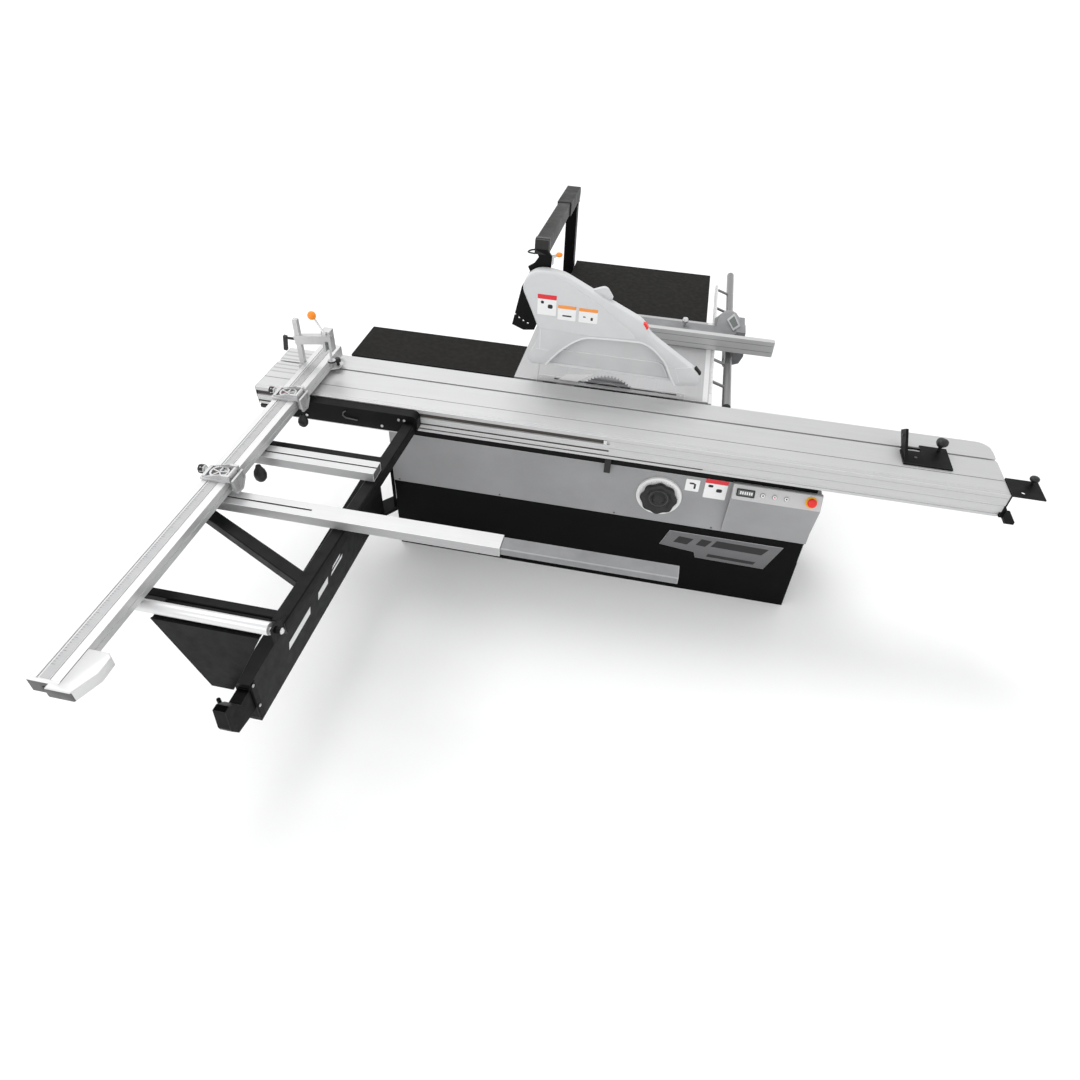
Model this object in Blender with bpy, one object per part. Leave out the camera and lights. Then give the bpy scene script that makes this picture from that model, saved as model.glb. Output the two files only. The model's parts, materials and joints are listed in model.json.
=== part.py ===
"""Sliding-table panel saw, built as separate closed solids in metres.

Frame: the floor is z = 0 and the origin lies under the middle of the cabinet, in the plane of
the saw table's front edge.  +X runs along the sliding table to the infeed end, +Y away from the
operator's side to the rip fence, +Z up.
"""
import math

import bmesh
import bpy
from mathutils import Matrix, Vector

for stale in list(bpy.data.objects):
    bpy.data.objects.remove(stale, do_unlink=True)

# ---------------------------------------------------------------- driving dimensions (m)
GAP = 0.0003
TABLE_Z = 0.880
BASE_Z = 0.407
PANEL_Z = 0.690
CAB_LEFT, CAB_RIGHT = -0.978, 0.973
CAB_FRONT = -0.375
WING_REAR = 0.160
CORE_LEFT, CORE_RIGHT, CORE_REAR = -0.450, 0.430, 0.620
BLADE_Y = -0.030
BLADE_X = -0.020
BLADE_R = 0.1575
BLADE_Z = 0.7725
SLIDE_LEFT, SLIDE_RIGHT = -1.560, 1.640
SLIDE_FRONT, SLIDE_REAR = -0.447, -0.080
FENCE_LEFT, FENCE_RIGHT = -1.375, -1.280
FENCE_BOTTOM, FENCE_TOP = 0.895, 0.945
FENCE_NEAR, FENCE_FAR = -2.100, -0.110
ARM_X, ARM_Y = -1.065, -0.420
STOP_Y = (-0.580, -1.150)
WHEEL_X, WHEEL_Z = 0.290, 0.561
COLUMN_X, COLUMN_Y, COLUMN_TOP = -0.432, 1.300, 1.230
GUARD_FRONT, GUARD_REAR = -0.055, -0.005
GUARD_PIVOT = (-0.3455, 0.0, 1.2963)
LATCH_X = 0.045
RAIL_X, RAIL_Z, RAIL_R = 0.530, 0.830, 0.020

PAINTS = {
    "black_paint": ((0.012, 0.012, 0.013), 0.42, 0.0),
    "grey_paint": ((0.30, 0.31, 0.32), 0.40, 0.0),
    "table_black": ((0.020, 0.020, 0.021), 0.62, 0.0),
    "aluminium": ((0.72, 0.73, 0.74), 0.34, 1.0),
    "cast_iron": ((0.34, 0.34, 0.345), 0.40, 1.0),
    "steel": ((0.60, 0.60, 0.61), 0.28, 1.0),
    "guard_grey": ((0.55, 0.56, 0.57), 0.45, 0.0),
    "black_plastic": ((0.016, 0.016, 0.017), 0.50, 0.0),
    "casting_grey": ((0.26, 0.27, 0.28), 0.48, 0.0),
    "pale_plastic": ((0.72, 0.72, 0.72), 0.45, 0.0),
    "red_plastic": ((0.60, 0.03, 0.02), 0.40, 0.0),
    "orange_plastic": ((0.90, 0.26, 0.01), 0.35, 0.0),
    "rubber": ((0.022, 0.022, 0.022), 0.80, 0.0),
}


# ---------------------------------------------------------------- building blocks
def paint(name):
    found = bpy.data.materials.get(name)
    if found:
        return found
    colour, rough, metal = PAINTS[name]
    made = bpy.data.materials.new(name)
    made.use_nodes = True
    shader = made.node_tree.nodes["Principled BSDF"]
    shader.inputs["Base Color"].default_value = (*colour, 1.0)
    shader.inputs["Roughness"].default_value = rough
    shader.inputs["Metallic"].default_value = metal
    made.diffuse_color = (*colour, 1.0)
    return made


def as_object(mesh_data, name="piece"):
    mesh = bpy.data.meshes.new(name)
    bmesh.ops.recalc_face_normals(mesh_data, faces=mesh_data.faces)
    mesh_data.to_mesh(mesh)
    mesh_data.free()
    piece = bpy.data.objects.new(name, mesh)
    bpy.context.collection.objects.link(piece)
    return piece


def place(axis, u, v, h):
    """A point from plane coordinates (u, v) and height h along the named axis."""
    if axis == "x":
        return (h, u, v)
    if axis == "y":
        return (u, h, v)
    return (u, v, h)


def prism(axis, outline, low, high):
    """An outline in the plane across an axis, pushed from low to high along it."""
    data = bmesh.new()
    first = [data.verts.new(place(axis, u, v, low)) for u, v in outline]
    last = [data.verts.new(place(axis, u, v, high)) for u, v in outline]
    data.faces.new(first)
    data.faces.new(last[::-1])
    count = len(outline)
    for i in range(count):
        j = (i + 1) % count
        data.faces.new((first[i], first[j], last[j], last[i]))
    return as_object(data)


def box(x0, x1, y0, y1, z0, z1):
    return prism("z", [(x0, y0), (x1, y0), (x1, y1), (x0, y1)], z0, z1)


def turned(start, end, profile, sides=20):
    """A profile of (radius, distance) pairs turned round the line from start to end."""
    start, end = Vector(start), Vector(end)
    turn = Vector((0, 0, 1)).rotation_difference(end - start).to_matrix().to_4x4()
    move = Matrix.Translation(start) @ turn
    data = bmesh.new()
    rings = []
    for radius, distance in profile:
        ring = []
        for i in range(sides):
            angle = 2 * math.pi * (i + 0.5) / sides
            point = Vector((radius * math.cos(angle), radius * math.sin(angle), distance))
            ring.append(data.verts.new(move @ point))
        rings.append(ring)
    for ring, after in zip(rings, rings[1:]):
        for i in range(sides):
            j = (i + 1) % sides
            data.faces.new((ring[i], ring[j], after[j], after[i]))
    data.faces.new(rings[0])
    data.faces.new(rings[-1][::-1])
    return as_object(data)


def rod(start, end, radius, sides=16):
    length = (Vector(end) - Vector(start)).length
    return turned(start, end, [(radius, 0.0), (radius, length)], sides)


def stretched_rod(start, end, radius, sides=16):
    """A rod that runs 10 mm past both ends, for cutting."""
    start, end = Vector(start), Vector(end)
    along = (end - start).normalized() * 0.010
    return rod(start - along, end + along, radius, sides)


def beam(start, end, wide, tall, roll_up=(0, 0, 1)):
    """A rectangular bar from start to end; tall is measured towards roll_up."""
    start, end = Vector(start), Vector(end)
    along = (end - start).normalized()
    across = along.cross(Vector(roll_up)).normalized()
    up = across.cross(along)
    data = bmesh.new()
    ends = []
    for point in (start, end):
        corners = []
        for u, v in ((-1, -1), (1, -1), (1, 1), (-1, 1)):
            corners.append(data.verts.new(point + across * (u * wide / 2) + up * (v * tall / 2)))
        ends.append(corners)
    data.faces.new(ends[0])
    data.faces.new(ends[1][::-1])
    for i in range(4):
        j = (i + 1) % 4
        data.faces.new((ends[0][i], ends[0][j], ends[1][j], ends[1][i]))
    return as_object(data)


def settle(piece):
    """Bake a piece's modifiers into its mesh."""
    bpy.context.view_layer.update()
    seen = piece.evaluated_get(bpy.context.evaluated_depsgraph_get())
    mesh = bpy.data.meshes.new_from_object(seen)
    piece.modifiers.clear()
    piece.data = mesh


def combine(piece, adds, cuts):
    """Join the adds to a piece and take the cuts out of it, one after another."""
    for others, operation in ((adds, "UNION"), (cuts, "DIFFERENCE")):
        for other in others:
            step = piece.modifiers.new("step", "BOOLEAN")
            step.operation = operation
            step.solver = "EXACT"
            step.object = other
            settle(piece)
            bpy.data.objects.remove(other, do_unlink=True)
    return piece


def soften(piece, width, segments=1, angle=40.0):
    edge = piece.modifiers.new("edge", "BEVEL")
    edge.width = width
    edge.segments = segments
    edge.limit_method = "ANGLE"
    edge.angle_limit = math.radians(angle)
    edge.use_clamp_overlap = True
    settle(piece)
    return piece


def finish(piece, name, material, pivot=(0.0, 0.0, 0.0), smooth=35.0):
    """Name a piece, paint it and put its origin on its pivot."""
    piece.name = name
    piece.data.name = name
    piece.data.materials.clear()
    piece.data.materials.append(paint(material))
    piece.data.transform(Matrix.Translation(-Vector(pivot)))
    piece.location = pivot
    for face in piece.data.polygons:
        face.use_smooth = True
    piece.data.set_sharp_from_angle(angle=math.radians(smooth))
    return piece


def arc(cx, cy, radius, start, end, steps):
    """Points round a centre, angles in degrees."""
    points = []
    for i in range(steps + 1):
        angle = math.radians(start + (end - start) * i / steps)
        points.append((cx + radius * math.cos(angle), cy + radius * math.sin(angle)))
    return points


def inset(outline, distance):
    """The open line of points moved inwards, to its right-hand side."""
    moved = []
    last = len(outline) - 1
    for i, point in enumerate(outline):
        here = Vector(point)
        before = Vector(outline[max(i - 1, 0)])
        after = Vector(outline[min(i + 1, last)])
        normals = []
        for a, b in ((before, here), (here, after)):
            if (b - a).length > 0:
                along = (b - a).normalized()
                normals.append(Vector((along.y, -along.x)))
        mean = sum(normals, Vector((0.0, 0.0))).normalized()
        reach = distance / max(0.5, mean.dot(normals[0]))
        moved.append(tuple(here + mean * reach))
    return moved


# ---------------------------------------------------------------- cabinet and frame
def plan_outline(shrink):
    left, right = CAB_LEFT + shrink, CAB_RIGHT - shrink
    front, wing, rear = CAB_FRONT + shrink, WING_REAR - shrink, CORE_REAR - shrink
    core_left, core_right = CORE_LEFT + shrink, CORE_RIGHT - shrink
    return [
        (left, front),
        (right, front),
        (right, wing),
        (core_right, wing),
        (core_right, rear),
        (core_left, rear),
        (core_left, wing),
        (left, wing),
    ]


def build_cabinet():
    base = prism("z", plan_outline(0.0), 0.0, BASE_Z)
    inside = prism("z", plan_outline(0.005), 0.006, BASE_Z + 0.01)
    dust = stretched_rod((0.10, CORE_REAR - 0.01, 0.20), (0.10, CORE_REAR, 0.20), 0.056, 20)
    finish(combine(base, [], [inside, dust]), "base_cabinet", "black_paint")

    panel = prism("z", plan_outline(0.0), BASE_Z + GAP, PANEL_Z)
    hollow = prism("z", plan_outline(0.004), BASE_Z - 0.01, PANEL_Z - 0.004)
    mouth = box(-0.430, 0.410, -0.280, CORE_REAR - 0.006, PANEL_Z - 0.02, PANEL_Z + 0.01)
    shaft = stretched_rod((WHEEL_X, CAB_FRONT, WHEEL_Z), (WHEEL_X, CAB_FRONT + 0.01, WHEEL_Z), 0.014)
    finish(combine(panel, [], [hollow, mouth, shaft]), "upper_cabinet", "grey_paint")


def build_support():
    """Two bulkheads and their ties, which carry the slide beam, the table and the trunnions."""
    plates = []
    for x0 in (-0.4197, 0.3800):
        side = [
            (-0.352, 0.0065),
            (CORE_REAR - 0.008, 0.0065),
            (CORE_REAR - 0.008, 0.8347),
            (0.180, 0.8347),
            (-0.010, 0.6250),
            (-0.240, 0.6250),
            (-0.276, 0.6800),
            (-0.352, 0.6800),
        ]
        plates.append(prism("x", side, x0, x0 + 0.0197))
    ties = [
        box(-0.405, 0.385, CORE_REAR - 0.040, CORE_REAR - 0.010, 0.740, 0.800),
        box(-0.405, 0.385, CORE_REAR - 0.040, CORE_REAR - 0.010, 0.020, 0.080),
        box(-0.405, 0.385, -0.350, -0.320, 0.020, 0.080),
    ]
    arcs = [
        prism("x", sector(0.2355, 0.2750, -40, 44, 14), -0.4050, -0.3797),
        prism("x", sector(0.2355, 0.2750, -40, 44, 14), 0.3597, 0.3850),
    ]
    windows = [box(x - 0.020, x + 0.040, -0.300, 0.120, 0.060, 0.560) for x in (-0.4197, 0.3800)]
    finish(combine(plates[0], ties + [plates[1]] + arcs, windows), "support_frame", "black_paint")


def build_slide_beam():
    section = [
        (-0.3745, PANEL_Z + GAP),
        (-0.284, PANEL_Z + GAP),
        (-0.232, 0.743),
        (-0.232, 0.754),
        (-0.3745, 0.754),
    ]
    beam_body = prism("x", section, -0.950, 0.950)
    void = prism("x", [(-0.366, 0.698), (-0.288, 0.698), (-0.250, 0.737), (-0.250, 0.746), (-0.366, 0.746)], -0.96, 0.96)
    finish(combine(beam_body, [], [void]), "slide_beam", "black_paint")


def build_cast_table():
    top = box(-0.457, 0.440, -0.062, 0.742, 0.835, TABLE_Z)
    cuts = [box(-0.350, 0.330, -0.080, -0.012, 0.800, TABLE_Z + 0.01)]
    for x0, x1 in ((-0.437, -0.225), (-0.205, 0.005), (0.025, 0.225), (0.245, 0.420)):
        for y0, y1 in ((0.020, 0.245), (0.265, 0.485), (0.505, 0.722)):
            cuts.append(box(x0, x1, y0, y1, 0.820, 0.868))
    top = combine(top, [], cuts)
    finish(top, "cast_table", "cast_iron")

    plate = box(-0.3497, 0.3297, -0.0617, -0.0123, 0.8757, 0.8797)
    cuts = [box(-0.272, 0.295, -0.0375, -0.0245, 0.86, 0.90)]
    plate = combine(plate, [], cuts)
    ledge = box(-0.3497, -0.3200, -0.0617, -0.0123, 0.840, 0.8760)
    ledge_b = box(0.3050, 0.3297, -0.0617, -0.0123, 0.840, 0.8760)
    finish(combine(plate, [ledge, ledge_b], []), "table_insert", "steel")


def tray(x0, x1, y0, y1, depth, skin=0.003):
    body = box(x0, x1, y0, y1, TABLE_Z - depth, TABLE_Z)
    void = box(x0 + skin, x1 - skin, y0 + skin, y1 - skin, TABLE_Z - depth - 0.01, TABLE_Z - skin)
    return combine(body, [], [void])


def build_extensions():
    finish(tray(-1.257, -0.4573, -0.065, 0.235, 0.034), "outfeed_table", "table_black")
    finish(tray(-0.395, 0.405, 0.7423, 1.365, 0.040), "side_table", "table_black")
    side = [(0.6203, 0.440), (0.6203, 0.520), (1.210, 0.8767), (1.290, 0.8767)]
    legs = [prism("x", side, x, x + 0.030) for x in (-0.330, 0.300)]
    ties = [box(-0.320, 0.320, 0.6203, 0.640, 0.450, 0.500), box(-0.320, 0.320, 1.215, 1.255, 0.840, 0.870)]
    finish(combine(legs[0], ties + [legs[1]], []), "side_table_strut", "black_paint")


def build_rip_rail():
    bar = rod((RAIL_X, 0.0, RAIL_Z), (RAIL_X, 1.520, RAIL_Z), RAIL_R, 24)
    studs = []
    for y in (0.170, 0.390, 0.980, 1.225):
        studs.append(rod((0.4500, y, RAIL_Z + 0.030), (RAIL_X, y, RAIL_Z + 0.004), 0.007, 10))
    strip = box(0.4403, 0.4553, -0.070, 1.240, 0.842, 0.8805)
    finish(combine(bar, studs + [strip], []), "rip_rail", "steel")


def build_overhead():
    post = box(COLUMN_X - 0.030, COLUMN_X + 0.030, COLUMN_Y - 0.030, COLUMN_Y + 0.030, 0.0, COLUMN_TOP)
    foot = box(COLUMN_X - 0.070, COLUMN_X + 0.070, COLUMN_Y - 0.070, COLUMN_Y + 0.070, 0.0, 0.010)
    reach = box(COLUMN_X - 0.029, COLUMN_X + 0.029, CORE_REAR + GAP, COLUMN_Y - 0.02, 0.120, 0.180)
    finish(combine(post, [foot, reach], []), "overhead_column", "black_paint")

    pivot = (COLUMN_X, COLUMN_Y, COLUMN_TOP)
    rear, front = Vector((COLUMN_X, COLUMN_Y, 1.284)), Vector((-0.362, 0.000, 1.4680))
    sleeve = box(COLUMN_X - 0.033, COLUMN_X + 0.033, COLUMN_Y - 0.033, COLUMN_Y + 0.033, COLUMN_TOP + GAP, 1.284)
    bend = turned((COLUMN_X - 0.036, COLUMN_Y, 1.284), (COLUMN_X + 0.036, COLUMN_Y, 1.284), [(0.0340, 0.0), (0.0340, 0.072)], 20)
    elbow = beam(rear, rear.lerp(front, 0.36), 0.072, 0.066)
    arm = beam(rear, front, 0.058, 0.058)

    outline = [
        (-0.4842, 1.1091),
        (-0.4310, 1.0884),
        (-0.3817, 1.0953),
        (-0.3087, 1.2897),
        (-0.3199, 1.3748),
        (-0.3159, 1.4334),
        (-0.3380, 1.4600),
        (-0.3860, 1.4600),
        (-0.3721, 1.4270),
        (-0.3917, 1.3974),
        (-0.4172, 1.3806),
        (-0.4080, 1.3626),
        (-0.4229, 1.3310),
        (-0.4431, 1.2894),
    ]
    plate = prism("y", outline, -0.0030, 0.0090)
    holes = []
    for i in range(4):
        angle = math.radians(228 + 7 * i)
        x, z = GUARD_PIVOT[0] + 0.187 * math.cos(angle), GUARD_PIVOT[2] + 0.187 * math.sin(angle)
        holes.append(stretched_rod((x, -0.003, z), (x, 0.009, z), 0.0055, 10))
    plate = combine(plate, [], holes)
    finish(combine(sleeve, [bend, elbow, arm, plate], []), "overhead_arm", "black_paint", pivot)


def build_guard():
    top = [
        (-0.3829, 0.9539),
        (-0.4010, 0.9802),
        (-0.3596, 1.0630),
        (-0.3536, 1.1287),
        (-0.4000, 1.2377),
        (-0.4313, 1.3064),
        (-0.4182, 1.3488),
        (-0.3909, 1.3791),
        (-0.3556, 1.3923),
        (-0.3051, 1.3913),
        (-0.2546, 1.3842),
        (-0.1303, 1.3246),
        (0.1030, 1.2175),
        (0.1343, 1.1650),
        (0.2201, 1.1085),
        (0.3595, 1.0196),
        (0.3797, 0.9974),
        (0.3837, 0.9681),
        (0.3757, 0.9509),
    ]
    arch = [
        (0.2777, 0.9347),
        (0.2545, 0.9701),
        (0.2191, 1.0418),
        (0.1605, 1.0984),
        (0.1110, 1.1226),
        (-0.0122, 1.1186),
        (-0.1374, 1.1125),
        (-0.1950, 1.0812),
        (-0.2606, 1.0206),
        (-0.3111, 0.9549),
    ]
    shell = prism("y", top + arch, GUARD_FRONT, GUARD_REAR)
    shell = soften(shell, 0.006, 2, 50.0)
    inner = inset(top, 0.004)
    inner[0] = (inner[0][0], 0.90)
    inner[-1] = (inner[-1][0], 0.90)
    void = prism("y", inner, GUARD_FRONT + 0.004, GUARD_REAR - 0.004)
    shell = combine(shell, [], [void])
    back = [
        (-0.3150, 0.9360),
        (0.2760, 0.9360),
        (0.2930, 0.9500),
        (0.2380, 1.0420),
        (0.1680, 1.1050),
        (0.1120, 1.1300),
        (-0.1370, 1.1200),
        (-0.1990, 1.0860),
        (-0.2680, 1.0220),
        (-0.3240, 0.9480),
    ]
    rear_wall = prism("y", back, GUARD_REAR - 0.0038, GUARD_REAR - 0.0002)
    finish(combine(shell, [rear_wall], []), "blade_guard", "guard_grey", GUARD_PIVOT)


# ---------------------------------------------------------------- saw unit
def belt_outline(one, small, two, large, steps=10):
    """The loop round two pulleys in the (x, z) plane."""
    away = math.atan2(two[2] - one[2], two[0] - one[0])
    apart = math.hypot(two[2] - one[2], two[0] - one[0])
    lean = math.degrees(math.acos((small - large) / apart))
    away = math.degrees(away)
    loop = arc(one[0], one[2], small, away + lean, away + 360 - lean, steps)
    return loop + arc(two[0], two[2], large, away - lean, away + lean, steps)


def sector(inner, outer, start, end, steps):
    """A ring sector about the tilt axis in (y, z); angles in degrees from straight down to the front."""
    pts = arc(BLADE_Y, TABLE_Z, outer, -90 - end, -90 - start, steps)
    pts += arc(BLADE_Y, TABLE_Z, inner, -90 - start, -90 - end, steps)
    return pts


def build_saw_unit():
    tilt = (0.0, BLADE_Y, TABLE_Z)
    ends = []
    for x0 in (-0.3960, 0.3600):
        ends.append(prism("x", sector(0.1900, 0.2350, -42, -2, 8), x0, x0 + 0.0160))
    spine = box(-0.390, 0.372, 0.070, 0.088, 0.680, 0.724)
    finish(combine(ends[0], [ends[1], spine], []), "tilt_frame", "casting_grey", tilt)

    # The carriage rises and falls in front of the spine, with the arbor housing and the motor.
    hub = (BLADE_X, BLADE_Y, BLADE_Z)
    pin = (-0.185, 0.0, 0.585)
    back = box(-0.140, 0.100, 0.0245, 0.0690, 0.600, 0.800)
    foot = box(-0.250, -0.130, 0.0245, 0.0690, 0.530, 0.700)
    cap = turned((BLADE_X, 0.0245, BLADE_Z), (BLADE_X, 0.0690, BLADE_Z), [(0.040, 0.0), (0.040, 0.0445)], 20)
    bore = stretched_rod((BLADE_X, 0.000, BLADE_Z), (BLADE_X, 0.080, BLADE_Z), 0.0155, 20)
    shaft_hole = stretched_rod((pin[0], 0.020, pin[2]), (pin[0], 0.080, pin[2]), 0.0112, 14)
    finish(combine(back, [cap, foot], [bore, shaft_hole]), "lift_carriage", "cast_iron", hub)

    motor = turned(
        (pin[0], 0.0694, pin[2]),
        (pin[0], 0.360, pin[2]),
        [(0.050, 0.0), (0.078, 0.010), (0.078, 0.230), (0.070, 0.240), (0.070, 0.280), (0.050, 0.2906)],
        20,
    )
    socket = rod((pin[0], 0.050, pin[2]), (pin[0], 0.200, pin[2]), 0.0105, 14)
    finish(combine(motor, [], [socket]), "saw_motor", "casting_grey")
    shaft = turned(
        (pin[0], 0.0005, pin[2]),
        (pin[0], 0.190, pin[2]),
        [(0.040, 0.0), (0.040, 0.0195), (0.010, 0.0200), (0.010, 0.1895)],
        20,
    )
    finish(shaft, "motor_rotor", "steel", pin)
    belt = prism("y", belt_outline(hub, 0.028 + 0.0056, pin, 0.040 + 0.0056), 0.002, 0.018)
    void = prism("y", belt_outline(hub, 0.028 + 0.0008, pin, 0.040 + 0.0008), -0.010, 0.030)
    finish(combine(belt, [], [void]), "drive_belt", "rubber")

    knife = [(-0.262, 0.822), (-0.262, 0.866), (-0.219, 0.909), (-0.094, 0.925), (-0.128, 0.905), (-0.152, 0.888), (-0.175, 0.860), (-0.187, 0.822)]
    blade_plate = prism("y", knife, BLADE_Y - 0.0012, BLADE_Y + 0.0012)
    tang = box(-0.255, -0.200, BLADE_Y - 0.0012, BLADE_Y + 0.0012, 0.660, 0.830)
    link = box(-0.245, -0.210, BLADE_Y + 0.0005, 0.0242, 0.672, 0.690)
    finish(combine(blade_plate, [tang, link], []), "riving_knife", "pale_plastic")

    teeth = []
    count = 36
    for i in range(count):
        angle = 2 * math.pi * i / count
        teeth.append((BLADE_X + BLADE_R * math.cos(angle), BLADE_Z + BLADE_R * math.sin(angle)))
        angle += 2 * math.pi * 0.72 / count
        inner = BLADE_R - 0.008
        teeth.append((BLADE_X + inner * math.cos(angle), BLADE_Z + inner * math.sin(angle)))
    disc = prism("y", teeth, BLADE_Y - 0.0015, BLADE_Y + 0.0015)
    arbor = turned(
        (BLADE_X, BLADE_Y - 0.022, BLADE_Z),
        (BLADE_X, 0.068, BLADE_Z),
        [(0.014, 0.0), (0.014, 0.010), (0.034, 0.0105), (0.034, 0.0278), (0.015, 0.0282), (0.015, 0.0521), (0.028, 0.0525), (0.028, 0.0720), (0.015, 0.0724), (0.015, 0.120)],
        20,
    )
    finish(combine(disc, [arbor], []), "main_blade", "steel", hub)

    score = (0.220, BLADE_Y, 0.824)
    disc = rod((0.220, BLADE_Y - 0.0014, 0.824), (0.220, BLADE_Y + 0.0014, 0.824), 0.058, 28)
    spindle = turned(
        (0.220, BLADE_Y - 0.010, 0.824),
        (0.220, 0.060, 0.824),
        [(0.016, 0.0), (0.016, 0.0086), (0.008, 0.0090), (0.008, 0.070)],
        14,
    )
    finish(combine(disc, [spindle], []), "scoring_blade", "steel", score)
    arm = prism("y", [(0.185, 0.650), (0.255, 0.650), (0.245, 0.832), (0.195, 0.832)], 0.020, 0.056)
    eye = stretched_rod((0.220, 0.020, 0.824), (0.220, 0.056, 0.824), 0.0085, 14)
    arm = combine(arm, [], [eye])
    grip = box(0.190, 0.250, 0.050, 0.0695, 0.655, 0.730)
    can = rod((0.220, 0.0560, 0.635), (0.220, 0.200, 0.635), 0.040, 18)
    neck = box(0.200, 0.240, 0.030, 0.066, 0.620, 0.662)
    finish(combine(arm, [grip, neck, can], []), "scoring_unit", "casting_grey")


# ---------------------------------------------------------------- controls
def build_controls():
    section = [(-0.3753, 0.700), (-0.390, 0.700), (-0.425, 0.637), (-0.390, 0.476), (-0.390, 0.420), (-0.3753, 0.420)]
    case = prism("x", section, 0.595, 0.975)
    soften(case, 0.0015, 1, 25.0)
    out = Vector((0.0, -0.874, 0.486))
    mid = Vector((0.0, -0.4075, 0.6685))
    wells = []
    for x in (0.726, 0.776, 0.826):
        foot = mid + Vector((x, 0, 0))
        wells.append(rod(foot - out * 0.016, foot + out * 0.010, 0.0100, 16))
    foot = mid + Vector((0.930, 0, 0))
    wells.append(rod(foot - out * 0.016, foot + out * 0.010, 0.0125, 16))
    finish(combine(case, [], wells), "control_box", "grey_paint")

    for name, x, colour in (("button_start", 0.726, "pale_plastic"), ("button_stop", 0.776, "pale_plastic"), ("button_scoring", 0.826, "pale_plastic")):
        foot = mid + Vector((x, 0, 0))
        cap = turned(foot - out * 0.006, foot + out * 0.010, [(0.0094, 0.0), (0.0094, 0.0150), (0.0080, 0.0160)], 16)
        finish(cap, name, colour, tuple(foot))
    foot = mid + Vector((0.930, 0, 0))
    cap = turned(
        foot - out * 0.006,
        foot + out * 0.030,
        [(0.0120, 0.0), (0.0120, 0.0120), (0.0190, 0.0150), (0.0200, 0.0210), (0.0180, 0.0280), (0.0110, 0.0310)],
        20,
    )
    finish(cap, "e_stop", "red_plastic", tuple(foot))

    hole = stretched_rod((WHEEL_X, CAB_FRONT - 0.010, WHEEL_Z), (WHEEL_X, CAB_FRONT, WHEEL_Z), 0.020, 20)
    dial = turned((WHEEL_X, CAB_FRONT - GAP, WHEEL_Z), (WHEEL_X, CAB_FRONT - 0.014, WHEEL_Z), [(0.1025, 0.0), (0.1025, 0.009), (0.0970, 0.014)], 40)
    finish(combine(dial, [], [hole]), "wheel_dial", "pale_plastic")
    lobes = []
    for i in range(64):
        angle = 2 * math.pi * i / 64
        radius = 0.0790 + 0.0050 * math.cos(8 * angle)
        lobes.append((WHEEL_X + radius * math.cos(angle), WHEEL_Z + radius * math.sin(angle)))
    knob = prism("y", lobes, CAB_FRONT - 0.037, CAB_FRONT - 0.016)
    soften(knob, 0.005, 2, 60.0)
    dish = turned((WHEEL_X, CAB_FRONT - 0.045, WHEEL_Z), (WHEEL_X, CAB_FRONT - 0.026, WHEEL_Z), [(0.056, 0.0), (0.050, 0.019)], 24)
    knob = combine(knob, [], [dish])
    boss = turned((WHEEL_X, CAB_FRONT - 0.038, WHEEL_Z), (WHEEL_X, CAB_FRONT - 0.022, WHEEL_Z), [(0.018, 0.0), (0.024, 0.004), (0.024, 0.016)], 20)
    spindle = rod((WHEEL_X, CAB_FRONT - 0.020, WHEEL_Z), (WHEEL_X, CAB_FRONT + 0.040, WHEEL_Z), 0.012, 16)
    finish(combine(knob, [boss, spindle], []), "handwheel", "black_plastic", (WHEEL_X, CAB_FRONT, WHEEL_Z))

    hub = rod((LATCH_X, CAB_FRONT - GAP, 0.706), (LATCH_X, CAB_FRONT - 0.022, 0.706), 0.013, 16)
    blade = beam((LATCH_X, CAB_FRONT - 0.021, 0.737), (LATCH_X, CAB_FRONT - 0.023, 0.664), 0.028, 0.018, (0, -1, 0))
    finish(combine(hub, [blade], []), "table_latch", "black_plastic", (LATCH_X, CAB_FRONT, 0.706))

    inlet = box(0.250, 0.330, CORE_REAR + GAP, CORE_REAR + 0.045, 0.300, 0.370)
    socket = stretched_rod((0.290, CORE_REAR + 0.030, 0.335), (0.290, CORE_REAR + 0.045, 0.335), 0.024, 16)
    finish(combine(inlet, [], [socket]), "power_inlet", "black_plastic")
    pipe = rod((0.10, CORE_REAR + GAP, 0.20), (0.10, CORE_REAR + 0.070, 0.20), 0.060, 24)
    flange = box(0.025, 0.175, CORE_REAR + GAP, CORE_REAR + 0.006, 0.125, 0.275)
    bore = stretched_rod((0.10, CORE_REAR, 0.20), (0.10, CORE_REAR + 0.070, 0.20), 0.057, 24)
    finish(combine(flange, [pipe], [bore]), "dust_outlet", "black_paint")


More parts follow.
